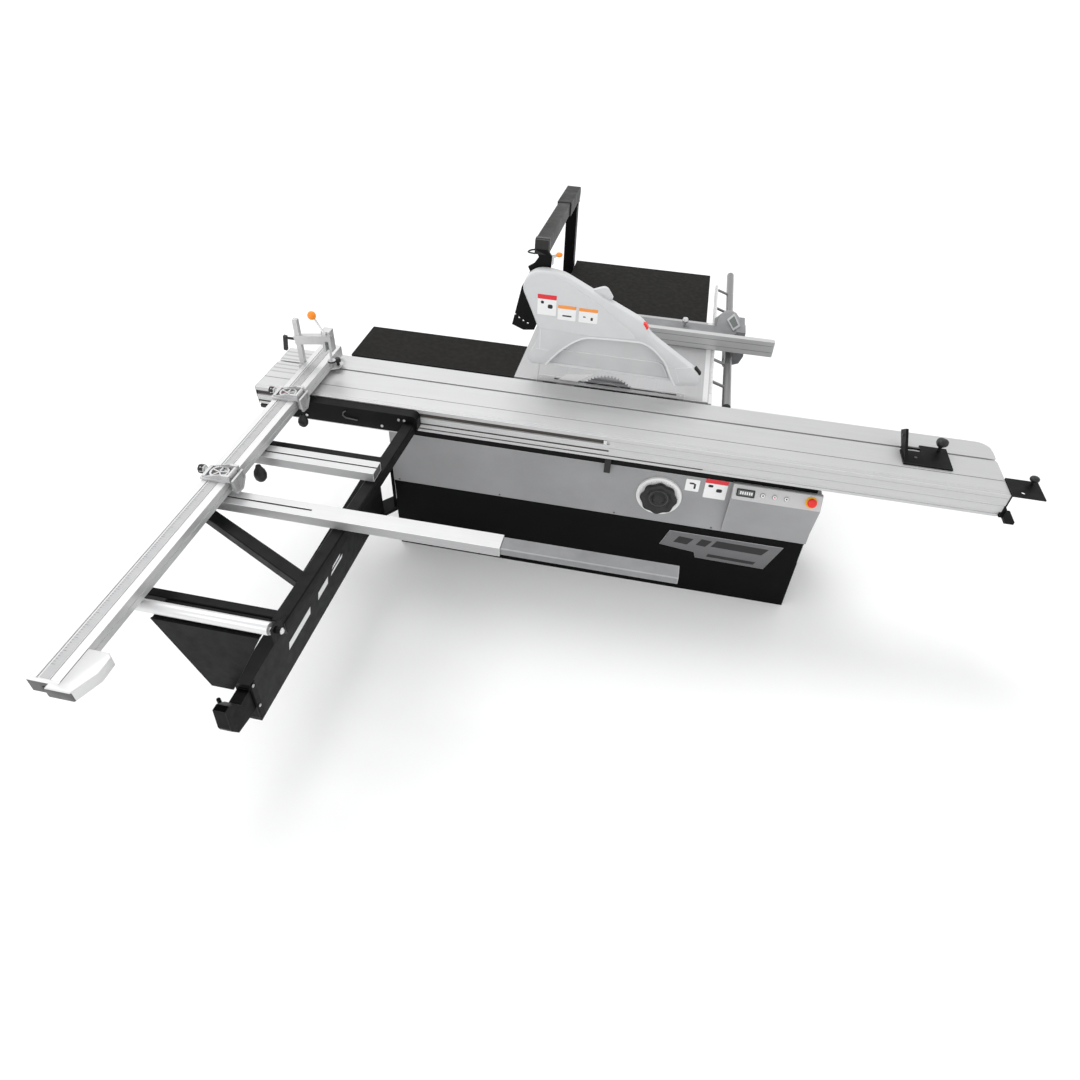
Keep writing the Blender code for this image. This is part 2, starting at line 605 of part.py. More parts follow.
# ---------------------------------------------------------------- sliding table
def build_sliding_table():
    section = [
        (SLIDE_FRONT, TABLE_Z),
        (SLIDE_FRONT, 0.826),
        (SLIDE_FRONT + 0.004, 0.822),
        (SLIDE_FRONT + 0.004, 0.792),
        (SLIDE_FRONT + 0.017, 0.787),
        (SLIDE_FRONT + 0.017, 0.757),
        (-0.219, 0.757),
        (-0.110, 0.866),
        (SLIDE_REAR, 0.866),
        (SLIDE_REAR, TABLE_Z),
    ]
    table = prism("x", section, SLIDE_LEFT, SLIDE_RIGHT)
    cuts = []
    slot = [(-0.212, 0.890), (-0.212, 0.870), (-0.219, 0.870), (-0.219, 0.858), (-0.193, 0.858), (-0.193, 0.870), (-0.200, 0.870), (-0.200, 0.890)]
    groove = [(-0.3535, 0.890), (-0.3535, 0.877), (-0.3495, 0.877), (-0.3495, 0.890)]
    front_hollow = [(-0.424, 0.763), (-0.340, 0.763), (-0.340, 0.866), (-0.438, 0.866), (-0.438, 0.800), (-0.424, 0.795)]
    rear_hollow = [(-0.332, 0.763), (-0.222, 0.763), (-0.232, 0.850), (-0.232, 0.866), (-0.332, 0.866)]
    for outline in (slot, groove, front_hollow, rear_hollow):
        cuts.append(prism("x", outline, SLIDE_LEFT - 0.01, SLIDE_RIGHT + 0.01))
    corner = arc(SLIDE_RIGHT - 0.060, SLIDE_REAR - 0.060, 0.060, 0, 90, 6)
    corner += [(SLIDE_RIGHT - 0.060, SLIDE_REAR + 0.02), (SLIDE_RIGHT + 0.02, SLIDE_REAR + 0.02), (SLIDE_RIGHT + 0.02, SLIDE_REAR - 0.060)]
    cuts.append(prism("z", corner, 0.74, 0.90))
    finish(combine(table, [], cuts), "sliding_table", "aluminium")

    plate = box(SLIDE_RIGHT - 0.120, 1.765, -0.455, -0.335, 0.8803, 0.8860)
    drop = box(SLIDE_RIGHT + GAP, SLIDE_RIGHT + 0.0063, -0.4470, -0.335, 0.800, 0.8806)
    eye = stretched_rod((1.687, -0.424, 0.880), (1.687, -0.424, 0.886), 0.008, 12)
    trim = box(1.50, SLIDE_RIGHT + GAP, -0.50, -0.30, 0.87, 0.89)
    plate = combine(plate, [drop], [eye, trim])
    hook = box(SLIDE_RIGHT + GAP, 1.658, -0.440, -0.400, 0.762, 0.8050)
    grip = box(1.650, 1.688, -0.480, -0.405, 0.764, 0.778)
    finish(combine(plate, [hook, grip], []), "end_plate", "black_paint")
    knob = turned((1.738, -0.352, 0.8863), (1.738, -0.352, 0.920), [(0.008, 0.0), (0.008, 0.010), (0.017, 0.012), (0.019, 0.022), (0.014, 0.0330)], 14)
    finish(knob, "end_knob", "black_plastic", (1.738, -0.352, 0.886))

    shoe = box(1.245, 1.440, -0.335, -0.235, 0.8803, 0.8880)
    lean = prism("x", [(-0.330, 0.884), (-0.236, 0.884), (-0.140, 0.925), (-0.190, 0.962)], 1.250, 1.262)
    foot = box(1.255, 1.430, -0.2110, -0.2010, 0.8700, 0.8870)
    tongue = box(1.255, 1.430, -0.2170, -0.1950, 0.8620, 0.8690)
    neck = box(1.255, 1.430, -0.2110, -0.2010, 0.8660, 0.8720)
    bridge = box(1.330, 1.440, -0.240, -0.185, 0.8803, 0.8880)
    finish(combine(shoe, [bridge, lean, foot, neck, tongue], []), "edging_shoe", "black_paint")
    knob = turned((1.405, -0.206, 0.8883), (1.405, -0.206, 0.945), [(0.007, 0.0), (0.007, 0.026), (0.020, 0.030), (0.024, 0.040), (0.021, 0.051), (0.012, 0.056)], 16)
    finish(knob, "shoe_knob", "black_plastic", (1.405, -0.206, 0.888))


def build_outrigger():
    outline = [(-1.400, 0.875), (-1.400, 0.785), (-0.815, 0.785)]
    outline += arc(-0.815, 0.810, 0.025, -90, 0, 5) + arc(-0.815, 0.850, 0.025, 0, 90, 5)
    rail = prism("y", outline, -0.4990, SLIDE_FRONT - GAP)
    members = []
    right = [(-0.849, -0.490), (-0.799, -0.490), (-0.838, -1.6800), (-0.888, -1.6800)]
    members.append(soften(prism("z", right, 0.790, 0.840), 0.004))
    left = [(-1.415, -0.490), (-1.375, -0.490), (-1.375, -1.7000), (-1.415, -1.7000)]
    members.append(soften(prism("z", left, 0.790, 0.840), 0.004))
    for y in (-0.793, -1.665):
        members.append(soften(box(-1.385, -0.845, y, y + 0.035, 0.800, 0.838), 0.003))
    brace = [(-1.385, -1.195), (-1.385, -1.247), (-0.865, -1.508), (-0.860, -1.455)]
    members.append(soften(prism("z", brace, 0.796, 0.838), 0.003))
    axle_y, axle_z = -1.7250, 0.8570
    cheek = [(axle_y - 0.020, 0.815), (-1.650, 0.815), (-1.650, 0.850), (axle_y + 0.012, 0.876), (axle_y - 0.020, 0.876)]
    members.append(prism("x", cheek, -1.4000, -1.3720))
    members.append(prism("x", cheek, -0.8490, -0.8410))
    members.append(rod((-0.8440, axle_y, axle_z), (-0.8230, axle_y, axle_z), 0.012, 14))
    flat = [(-1.265, 0.8317), (-1.139, 0.515), (-1.058, 0.515), (-0.890, 0.8317)]
    members.append(prism("y", flat, -1.7520, -1.7460))
    members.append(box(-1.262, -0.893, -1.7510, -1.6600, 0.8257, 0.8317))
    finish(combine(rail, members, []), "outrigger_frame", "black_paint")

    bar = box(-1.410, -0.822, -0.925, -0.845, 0.8403, 0.8797)
    void = box(-1.42, -0.81, -0.9215, -0.8485, 0.8438, 0.8762)
    slot = box(-1.42, -0.81, -0.889, -0.881, 0.8700, 0.8900)
    finish(combine(bar, [], [void, slot]), "support_bar_rear", "aluminium")
    bar = box(-1.410, -0.245, -1.220, -1.146, 0.8403, 0.8797)
    void = box(-1.42, -0.23, -1.2165, -1.1495, 0.8438, 0.8762)
    slot = box(-1.42, -0.96, -1.187, -1.179, 0.8700, 0.8900)
    finish(combine(bar, [], [void, slot]), "support_bar_front", "aluminium")
    slide = box(-0.950, 0.381, -1.2150, -1.1510, 0.8453, 0.8747)
    finish(soften(slide, 0.002), "support_extension", "casting_grey")

    roll = turned(
        (-1.3715, axle_y, axle_z),
        (-0.8495, axle_y, axle_z),
        [(0.006, 0.0), (0.006, 0.012), (0.0220, 0.0125), (0.0220, 0.5100), (0.006, 0.5105), (0.006, 0.522)],
        24,
    )
    finish(roll, "support_roller", "aluminium", (0.0, axle_y, axle_z))


def build_fence():
    mid = (FENCE_LEFT + FENCE_RIGHT) / 2
    pivot = (mid, -0.260, 0.0)
    profile = box(FENCE_LEFT, FENCE_RIGHT, FENCE_NEAR, FENCE_FAR, FENCE_BOTTOM, FENCE_TOP)
    void = box(FENCE_LEFT + 0.006, FENCE_RIGHT - 0.006, FENCE_NEAR - 0.01, FENCE_FAR + 0.01, FENCE_BOTTOM + 0.006, FENCE_TOP - 0.008)
    slot = box(FENCE_LEFT + 0.021, FENCE_LEFT + 0.027, FENCE_NEAR - 0.01, FENCE_FAR + 0.01, FENCE_TOP - 0.004, FENCE_TOP + 0.01)
    line = box(FENCE_LEFT + 0.062, FENCE_LEFT + 0.066, FENCE_NEAR - 0.01, FENCE_FAR + 0.01, FENCE_TOP - 0.003, FENCE_TOP + 0.01)
    side = box(FENCE_RIGHT - 0.003, FENCE_RIGHT + 0.01, FENCE_NEAR - 0.01, FENCE_FAR + 0.01, 0.915, 0.921)
    pad = rod((mid, -0.260, 0.8803), (mid, -0.260, 0.8970), 0.032, 20)
    profile = combine(profile, [pad], [void, slot, line, side])
    finish(profile, "crosscut_fence", "aluminium", pivot)
    inner = box(FENCE_LEFT + 0.0165, FENCE_RIGHT - 0.0075, FENCE_NEAR - 0.005, -1.050, FENCE_BOTTOM + 0.0075, FENCE_TOP - 0.0095)
    cap = box(FENCE_LEFT, FENCE_RIGHT + 0.002, -2.112, FENCE_NEAR - GAP, FENCE_BOTTOM, FENCE_TOP)
    plan = [
        (FENCE_RIGHT + 0.0005, -2.1000),
        (FENCE_RIGHT + 0.0005, -1.9760),
        (-1.2142, -1.9765),
        (-1.1980, -1.9900),
        (-1.1960, -2.0500),
        (-1.2280, -2.1300),
        (FENCE_RIGHT - 0.0300, -2.1300),
        (FENCE_RIGHT - 0.0300, -2.1050),
        (FENCE_RIGHT + 0.0005, -2.1050),
    ]
    shoe = prism("z", plan, 0.905, FENCE_TOP)
    soften(shoe, 0.006, 2, 50.0)
    finish(combine(cap, [inner, shoe], []), "fence_extension", "aluminium", pivot)

    # hold-down: post, arm and bracket in one welded piece
    post = box(-1.400, -1.378, -0.300, -0.278, 0.900, 1.150)
    clamp = box(-1.400, -1.3755, -0.315, -0.265, 0.900, 0.940)
    arm = beam((-1.404, -0.289, 1.052), (-1.232, -0.289, 1.076), 0.028, 0.040)
    bracket = box(-1.268, -1.228, -0.310, -0.268, 1.020, 1.118)
    split = box(-1.256, -1.240, -0.320, -0.260, 1.010, 1.070)
    finish(combine(post, [clamp, arm, bracket], [split]), "holddown_post", "steel", pivot)
    lever = rod((-1.248, -0.3165, 1.112), (-1.286, -0.3165, 1.186), 0.0045, 10)
    ball = turned((-1.2860, -0.3165, 1.1760), (-1.2980, -0.3165, 1.2080), [(0.006, 0.0), (0.0140, 0.005), (0.0180, 0.015), (0.0160, 0.026), (0.008, 0.033)], 14)
    pin = rod((-1.248, -0.3225, 1.108), (-1.248, -0.3103, 1.108), 0.009, 12)
    finish(combine(pin, [lever, ball], []), "holddown_lever", "orange_plastic", (-1.248, -0.289, 1.108))
    foot = rod((-1.248, -0.289, 0.975), (-1.248, -0.289, 1.066), 0.006, 12)
    pad = turned((-1.248, -0.289, 0.962), (-1.248, -0.289, 0.980), [(0.018, 0.0), (0.018, 0.008), (0.007, 0.016)], 16)
    finish(combine(pad, [foot], []), "holddown_foot", "steel", (-1.248, -0.289, 1.000))
    handle = beam((-1.452, -0.289, 1.062), (-1.462, -0.289, 0.992), 0.016, 0.014, (0, 1, 0))
    lock = rod((-1.4068, -0.289, 1.052), (-1.456, -0.289, 1.052), 0.006, 10)
    finish(combine(lock, [handle], []), "holddown_lock", "black_plastic", (-1.404, -0.289, 1.052))

    for number, y in enumerate(STOP_Y, 1):
        saddle = box(FENCE_LEFT - 0.006, FENCE_RIGHT - 0.002, y - 0.038, y + 0.038, FENCE_TOP + GAP, FENCE_TOP + 0.012)
        rear = box(FENCE_LEFT - 0.006, FENCE_LEFT - GAP, y - 0.030, y + 0.030, FENCE_TOP - 0.030, FENCE_TOP + 0.006)
        lug_a = box(FENCE_RIGHT - 0.012, FENCE_RIGHT + 0.018, y - 0.038, y - 0.028, FENCE_TOP + 0.004, FENCE_TOP + 0.034)
        lug_b = box(FENCE_RIGHT - 0.012, FENCE_RIGHT + 0.018, y + 0.028, y + 0.038, FENCE_TOP + 0.004, FENCE_TOP + 0.034)
        window = box(FENCE_LEFT + 0.012, FENCE_RIGHT - 0.030, y - 0.020, y + 0.020, FENCE_TOP - 0.01, FENCE_TOP + 0.02)
        shank = (FENCE_LEFT - 0.0043, y + 0.0200, FENCE_TOP + 0.0030)
        knob = turned(shank, (shank[0] - 0.0400, shank[1], shank[2]), [(0.007, 0.0), (0.007, 0.010), (0.016, 0.012), (0.018, 0.026), (0.012, 0.036)], 14)
        saddle = combine(saddle, [rear, lug_a, lug_b, knob], [window])
        finish(saddle, f"stop_{number}_carriage", "aluminium", (mid, y, FENCE_TOP))
        hinge = (FENCE_RIGHT + 0.010, y, FENCE_TOP + 0.024)
        barrel = rod((hinge[0], y - 0.0275, hinge[2]), (hinge[0], y + 0.0275, hinge[2]), 0.007, 12)
        flap = prism("y", [(FENCE_RIGHT + 0.003, 0.962), (FENCE_RIGHT + 0.016, 0.966), (FENCE_RIGHT + 0.024, 0.905), (FENCE_RIGHT + 0.010, 0.900)], y - 0.022, y + 0.022)
        finish(combine(barrel, [flap], []), f"stop_{number}_flap", "aluminium", hinge)


# ---------------------------------------------------------------- rip fence
def build_rip_fence():
    outline = [(0.470, 0.760), (0.560, 0.748), (0.596, 0.764), (0.612, 0.806), (0.600, 0.905), (0.470, 0.905)]
    head = prism("y", outline, 0.560, 0.800)
    hood = bmesh.new()
    for corner in (
        (0.4445, 0.568, 0.886), (0.4445, 0.568, 0.901), (0.5440, 0.568, 0.886), (0.5440, 0.568, 0.907), (0.5900, 0.640, 0.886),
        (0.5720, 0.620, 0.934), (0.5348, 0.700, 0.9695), (0.5150, 0.740, 0.967), (0.4738, 0.700, 0.9563), (0.4570, 0.660, 0.9465),
        (0.4450, 0.790, 0.886), (0.5900, 0.790, 0.886), (0.4900, 0.790, 0.935), (0.5500, 0.790, 0.930),
    ):
        hood.verts.new(corner)
    bmesh.ops.convex_hull(hood, input=hood.verts)
    hood = as_object(hood)
    shoulder = box(0.552, 0.598, 0.572, 0.660, 0.870, 0.930)
    head = combine(head, [hood, shoulder], [])
    bore = stretched_rod((RAIL_X, 0.560, RAIL_Z), (RAIL_X, 0.840, RAIL_Z), RAIL_R + 0.0006, 24)
    undercut = box(RAIL_X - 0.070, RAIL_X - 0.018, 0.50, 0.90, 0.74, 0.8845)
    arm = box(0.060, 0.490, 0.565, 0.645, 0.8850, 0.9150)
    stud_way = box(RAIL_X - 0.030, RAIL_X, 0.50, 0.90, RAIL_Z - 0.015, RAIL_Z + 0.024)
    finish(combine(head, [arm], [bore, undercut, stud_way]), "rip_head", "casting_grey")
    plate = box(0.020, 0.731, 0.440, 0.4700, 0.8815, 0.9615)
    toe = box(0.020, 0.731, 0.465, 0.530, 0.8815, 0.8990)
    web = box(0.180, 0.400, 0.5200, 0.5647, 0.8900, 0.9100)
    finish(combine(plate, [toe, web], []), "rip_fence_plate", "aluminium")
    for name, x, y, z, colour in (("rip_lock_knob", 0.290, 0.600, 0.9153, "steel"), ("rip_fine_knob", 0.330, 0.500, 0.8993, "pale_plastic")):
        knob = turned((x, y, z), (x, y, z + 0.044), [(0.006, 0.0), (0.006, 0.016), (0.014, 0.018), (0.017, 0.030), (0.012, 0.042)], 14)
        finish(knob, name, colour, (x, y, z))
    handle = turned((RAIL_X, 0.5597, 0.782), (RAIL_X, 0.470, 0.782), [(0.008, 0.0), (0.008, 0.020), (0.018, 0.024), (0.020, 0.060), (0.014, 0.076)], 16)
    finish(handle, "rip_clamp_knob", "black_plastic", (RAIL_X, 0.560, 0.782))


# ---------------------------------------------------------------- swing arm
def build_swing_arm():
    plan = [(-0.9783, -0.290), (-1.020, -0.290), (-1.100, -0.385), (-1.100, -0.455), (-1.035, -0.455), (-0.9783, -0.375)]
    low = prism("z", plan, 0.2140, 0.2347)
    high = prism("z", plan, 0.4783, 0.4990)
    wall = box(-0.9983, -0.9783, -0.365, -0.292, 0.2145, 0.4985)
    pin = rod((ARM_X, ARM_Y, 0.2150), (ARM_X, ARM_Y, 0.4980), 0.0140, 16)
    finish(combine(low, [wall, high, pin], []), "swing_arm_bracket", "black_paint")

    pivot = (ARM_X, ARM_Y, 0.0)
    side = [(ARM_Y, 0.2350), (ARM_Y, 0.4780), (-1.7000, 0.4780), (-1.7000, 0.2640)]
    tube = prism("x", side, -1.095, -1.035)
    nose = rod((ARM_X, ARM_Y, 0.2350), (ARM_X, ARM_Y, 0.4780), 0.0300, 20)
    void = box(-1.0895, -1.0405, -1.71, -0.560, 0.2850, 0.4630)
    eye = stretched_rod((ARM_X, ARM_Y, 0.2350), (ARM_X, ARM_Y, 0.4780), 0.0148, 16)
    finish(combine(tube, [nose], [void, eye]), "swing_arm_outer", "black_paint", pivot)

    inner = box(-1.0885, -1.0415, -1.7000, -0.900, 0.2880, 0.4600)
    hook = [
        (-1.6900, 0.3410),
        (-1.6900, 0.4480),
        (-1.7650, 0.4480),
        (-1.7790, 0.4750),
        (-1.8150, 0.5110),
        (-1.8420, 0.5120),
        (-1.8498, 0.4205),
        (-1.8450, 0.4030),
        (-1.8175, 0.3570),
        (-1.7330, 0.3410),
    ]
    tip = prism("x", hook, -1.0885, -1.0415)
    boss = box(-1.1200, -1.0800, -1.7920, -1.7680, 0.4000, 0.4240)
    stem = rod((-1.1080, -1.7800, 0.4020), (-1.1080, -1.7800, 0.4840), 0.0075, 12)
    finish(combine(inner, [tip, boss, stem], []), "swing_arm_inner", "black_paint", pivot)


build_cabinet()
build_support()
build_slide_beam()
build_cast_table()
build_extensions()
build_rip_rail()
build_overhead()
build_guard()
build_saw_unit()
build_controls()
build_sliding_table()
build_outrigger()
build_fence()
build_rip_fence()
build_swing_arm()
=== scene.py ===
"""Looks of a sliding-table panel saw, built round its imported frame.

Metres, +Z up, the frame's own axes: +X along the sliding table to the controls, +Y away from the
operator to the rip fence.  Pieces are placed from the frame's node boxes and a few named sizes.
"""
import json
import math

import bmesh
import bpy
from mathutils import Matrix, Vector


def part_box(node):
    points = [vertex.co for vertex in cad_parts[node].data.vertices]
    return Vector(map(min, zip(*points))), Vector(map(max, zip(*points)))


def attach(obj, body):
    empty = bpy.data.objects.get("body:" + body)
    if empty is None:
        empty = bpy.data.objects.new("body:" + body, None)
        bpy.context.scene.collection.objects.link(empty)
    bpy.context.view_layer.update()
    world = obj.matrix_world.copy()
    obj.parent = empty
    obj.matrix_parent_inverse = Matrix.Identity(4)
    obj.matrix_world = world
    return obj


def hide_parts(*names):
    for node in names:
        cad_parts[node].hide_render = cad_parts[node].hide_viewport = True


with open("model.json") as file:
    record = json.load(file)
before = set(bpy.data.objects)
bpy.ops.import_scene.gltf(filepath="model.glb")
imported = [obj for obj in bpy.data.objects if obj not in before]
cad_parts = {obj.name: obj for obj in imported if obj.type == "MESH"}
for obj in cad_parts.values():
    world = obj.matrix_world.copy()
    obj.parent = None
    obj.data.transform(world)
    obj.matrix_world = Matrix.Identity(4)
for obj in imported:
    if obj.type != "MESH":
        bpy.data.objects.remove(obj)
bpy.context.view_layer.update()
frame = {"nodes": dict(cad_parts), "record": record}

BODY_OF = {}
for body_name, members in frame["record"]["behaviour"]["bodies"].items():
    for member in members:
        BODY_OF[member] = body_name

X, Y, Z = Vector((1, 0, 0)), Vector((0, 1, 0)), Vector((0, 0, 1))
SKIN = 0.0004  # how far a label or a plate stands off what carries it
BLADE_Y = -0.030  # the plane of the saw blade
ROLLER_Y = -1.725  # the axle of the outrigger's roller
COLUMN = Vector((-0.432, 1.300, 0.0))  # the foot of the guard's column
GUARD_PIVOT = Vector((-0.3455, 0.0, 1.2963))


# ---------------------------------------------------------------- camera, lights, floor
def aim_camera():
    yaw, pitch, roll = (math.radians(a) for a in (9.80, 42.32, 2.68))
    right = Vector((math.cos(yaw), math.sin(yaw), 0.0))
    ahead = Vector((-math.sin(yaw) * math.cos(pitch), math.cos(yaw) * math.cos(pitch), -math.sin(pitch)))
    up = right.cross(ahead)
    across = right * math.cos(roll) + up * math.sin(roll)
    top = up * math.cos(roll) - right * math.sin(roll)
    data = bpy.data.cameras.new("camera")
    data.lens = 25.0
    data.sensor_width = 36.0
    data.clip_end = 200.0
    data.shift_x, data.shift_y = 0.003, -0.001
    camera = bpy.data.objects.new("camera", data)
    bpy.context.scene.collection.objects.link(camera)
    turn = Matrix((across, top, -ahead)).transposed().to_4x4()
    camera.matrix_world = Matrix.Translation((0.208, -3.086, 2.678)) @ turn
    bpy.context.scene.camera = camera


def area_light(name, place, aim, size, power):
    data = bpy.data.lights.new(name, "AREA")
    data.shape = "RECTANGLE"
    data.size, data.size_y = size
    data.energy = power
    lamp = bpy.data.objects.new(name, data)
    bpy.context.scene.collection.objects.link(lamp)
    lamp.location = place
    lamp.rotation_euler = (Vector(aim) - Vector(place)).to_track_quat("-Z", "Y").to_euler()


def light_stage():
    world = bpy.data.worlds.new("studio")
    bpy.context.scene.world = world
    world.use_nodes = True
    tree = world.node_tree
    place = tree.nodes.new("ShaderNodeTexCoord").outputs["Generated"]
    split = tree.nodes.new("ShaderNodeSeparateXYZ")
    tree.links.new(place, split.inputs[0])
    ramp = tree.nodes.new("ShaderNodeValToRGB")
    tree.links.new(split.outputs["Z"], ramp.inputs["Fac"])
    ramp.color_ramp.elements[0].position = 0.6
    ramp.color_ramp.elements[0].color = (1.0, 1.0, 1.0, 1.0)
    ramp.color_ramp.elements[1].position = 1.0
    ramp.color_ramp.elements[1].color = (0.80, 0.81, 0.82, 1.0)
    back = tree.nodes["Background"]
    tree.links.new(ramp.outputs["Color"], back.inputs["Color"])
    back.inputs["Strength"].default_value = 1.0
    sun = bpy.data.lights.new("key_sun", "SUN")
    sun.energy = 0.70
    sun.angle = math.radians(24)
    lamp = bpy.data.objects.new("key_sun", sun)
    bpy.context.scene.collection.objects.link(lamp)
    lamp.rotation_euler = Vector((0.42, -0.42, -1.0)).to_track_quat("-Z", "Y").to_euler()
    area_light("overhead_softbox", (-1.5, 1.6, 4.2), (0.1, -0.3, 0.8), (3.0, 2.0), 24.0)
    area_light("front_fill", (-1.8, -4.6, 3.0), (0.1, -0.2, 0.5), (3.0, 2.0), 26.0)
    bpy.context.scene.view_settings.view_transform = "Standard"


# ---------------------------------------------------------------- materials
class Recipe:
    """A Principled material fed by noise that is measured in metres on the piece itself."""

    def __init__(self, name, metallic=0.0, specular=0.5, coat=0.0):
        self.material = bpy.data.materials.new(name)
        self.material.use_nodes = True
        self.tree = self.material.node_tree
        self.shader = self.tree.nodes["Principled BSDF"]
        self.shader.inputs["Metallic"].default_value = metallic
        self.shader.inputs["Specular IOR Level"].default_value = specular
        self.shader.inputs["Coat Weight"].default_value = coat
        self.shader.inputs["Coat Roughness"].default_value = 0.12
        self.place = self.tree.nodes.new("ShaderNodeTexCoord").outputs["Object"]

    def join(self, source, target):
        self.tree.links.new(source, target)

    def stretched(self, scales):
        made = self.tree.nodes.new("ShaderNodeMapping")
        made.inputs["Scale"].default_value = scales
        self.join(self.place, made.inputs["Vector"])
        return made.outputs["Vector"]

    def noise(self, scale, detail=2.0, roughness=0.5, along=None):
        made = self.tree.nodes.new("ShaderNodeTexNoise")
        made.inputs["Scale"].default_value = scale
        made.inputs["Detail"].default_value = detail
        made.inputs["Roughness"].default_value = roughness
        self.join(along or self.place, made.inputs["Vector"])
        return made.outputs["Fac"]

    def pits(self, scale):
        made = self.tree.nodes.new("ShaderNodeTexVoronoi")
        made.inputs["Scale"].default_value = scale
        self.join(self.place, made.inputs["Vector"])
        return made.outputs["Distance"]

    def spread(self, value, low, high, to_low, to_high):
        made = self.tree.nodes.new("ShaderNodeMapRange")
        limits = {"From Min": low, "From Max": high, "To Min": to_low, "To Max": to_high}
        for socket, number in limits.items():
            made.inputs[socket].default_value = number
        self.join(value, made.inputs["Value"])
        return made.outputs["Result"]

    def mixed(self, factor, one, two):
        made = self.tree.nodes.new("ShaderNodeMix")
        made.data_type = "RGBA"
        self.join(factor, made.inputs[0])
        for socket, colour in ((made.inputs[6], one), (made.inputs[7], two)):
            if isinstance(colour, bpy.types.NodeSocket):
                self.join(colour, socket)
            else:
                socket.default_value = (*colour, 1.0)
        return made.outputs[2]

    def finish(self, colour, roughness, layers):
        """Layers are (height, strength, distance), piled on each other as bump."""
        self.join(colour, self.shader.inputs["Base Color"])
        self.join(roughness, self.shader.inputs["Roughness"])
        normal = None
        for height, strength, distance in layers:
            bump = self.tree.nodes.new("ShaderNodeBump")
            bump.inputs["Strength"].default_value = strength
            bump.inputs["Distance"].default_value = distance
            self.join(height, bump.inputs["Height"])
            if normal:
                self.join(normal, bump.inputs["Normal"])
            normal = bump.outputs["Normal"]
        self.join(normal, self.shader.inputs["Normal"])
        return self.material


def tinted(colour, factor):
    return tuple(min(1.0, c * factor) for c in colour)


def coated(name, colour, rough, specular=0.5, peel=0.12, contrast=0.14, coat=0.0, metallic=0.0):
    """Paint or powder coat: cloudy tone, handled patches and a fine orange peel."""
    recipe = Recipe(name, metallic, specular, coat)
    cloud = recipe.spread(recipe.noise(1.7, 4.0, 0.6), 0.35, 0.65, 0.0, 1.0)
    tone = recipe.mixed(cloud, tinted(colour, 1 - contrast), tinted(colour, 1 + contrast))
    dust = recipe.spread(recipe.noise(55.0, 6.0, 0.7), 0.56, 0.74, 0.0, 0.22)
    tone = recipe.mixed(dust, tone, tinted(colour, 1 + 2.2 * contrast))
    rough_map = recipe.spread(recipe.noise(19.0, 5.0, 0.65), 0.3, 0.7, rough - 0.07, rough + 0.09)
    return recipe.finish(tone, rough_map, [(recipe.noise(750.0, 2.0), peel, 0.0004),
        (recipe.noise(9.0), 0.04, 0.004)])


def drawn(name, colour, rough, axis, contrast=0.10, metallic=1.0, lines=0.10):
    """Extruded or ground metal: long fine lines along one axis, with broad cloudy stains."""
    recipe = Recipe(name, metallic, 0.5)
    fine_scales, broad_scales = [620.0] * 3, [26.0] * 3
    fine_scales[axis], broad_scales[axis] = 5.0, 0.9
    fine = recipe.noise(1.0, 3.0, 0.6, recipe.stretched(fine_scales))
    broad = recipe.noise(1.0, 4.0, 0.6, recipe.stretched(broad_scales))
    stain = recipe.noise(4.5, 5.0, 0.6)
    tone = recipe.mixed(recipe.spread(fine, 0.3, 0.7, 0.0, 1.0), tinted(colour, 1 - contrast),
        tinted(colour, 1 + contrast))
    tone = recipe.mixed(recipe.spread(broad, 0.35, 0.7, 0.0, 0.45), tone, tinted(colour, 1 - 1.6 * contrast))
    tone = recipe.mixed(recipe.spread(stain, 0.45, 0.75, 0.0, 0.40), tone, tinted(colour, 1 + contrast))
    rough_map = recipe.spread(stain, 0.3, 0.7, rough - 0.06, rough + 0.08)
    return recipe.finish(tone, rough_map, [(fine, lines, 0.0003), (recipe.noise(60.0, 3.0), 0.03, 0.0010)])


def cast(name, colour, rough, metallic=0.0, specular=0.5, grain=330.0, strength=0.35, contrast=0.14):
    """Sand-cast or moulded skin: a tight grain over slow swells, with a scatter of pits."""
    recipe = Recipe(name, metallic, specular)
    cloud = recipe.spread(recipe.noise(7.0, 5.0, 0.6), 0.35, 0.65, 0.0, 1.0)
    tone = recipe.mixed(cloud, tinted(colour, 1 - contrast), tinted(colour, 1 + contrast))
    pitted = recipe.spread(recipe.pits(grain * 0.45), 0.0, 0.22, 0.55, 0.0)
    tone = recipe.mixed(pitted, tone, tinted(colour, 1 - 2 * contrast))
    rough_map = recipe.spread(recipe.noise(40.0, 4.0), 0.3, 0.7, rough - 0.08, rough + 0.08)
    return recipe.finish(tone, rough_map, [(recipe.noise(grain, 3.0, 0.6), strength, 0.0006),
        (recipe.noise(12.0), 0.05, 0.003)])


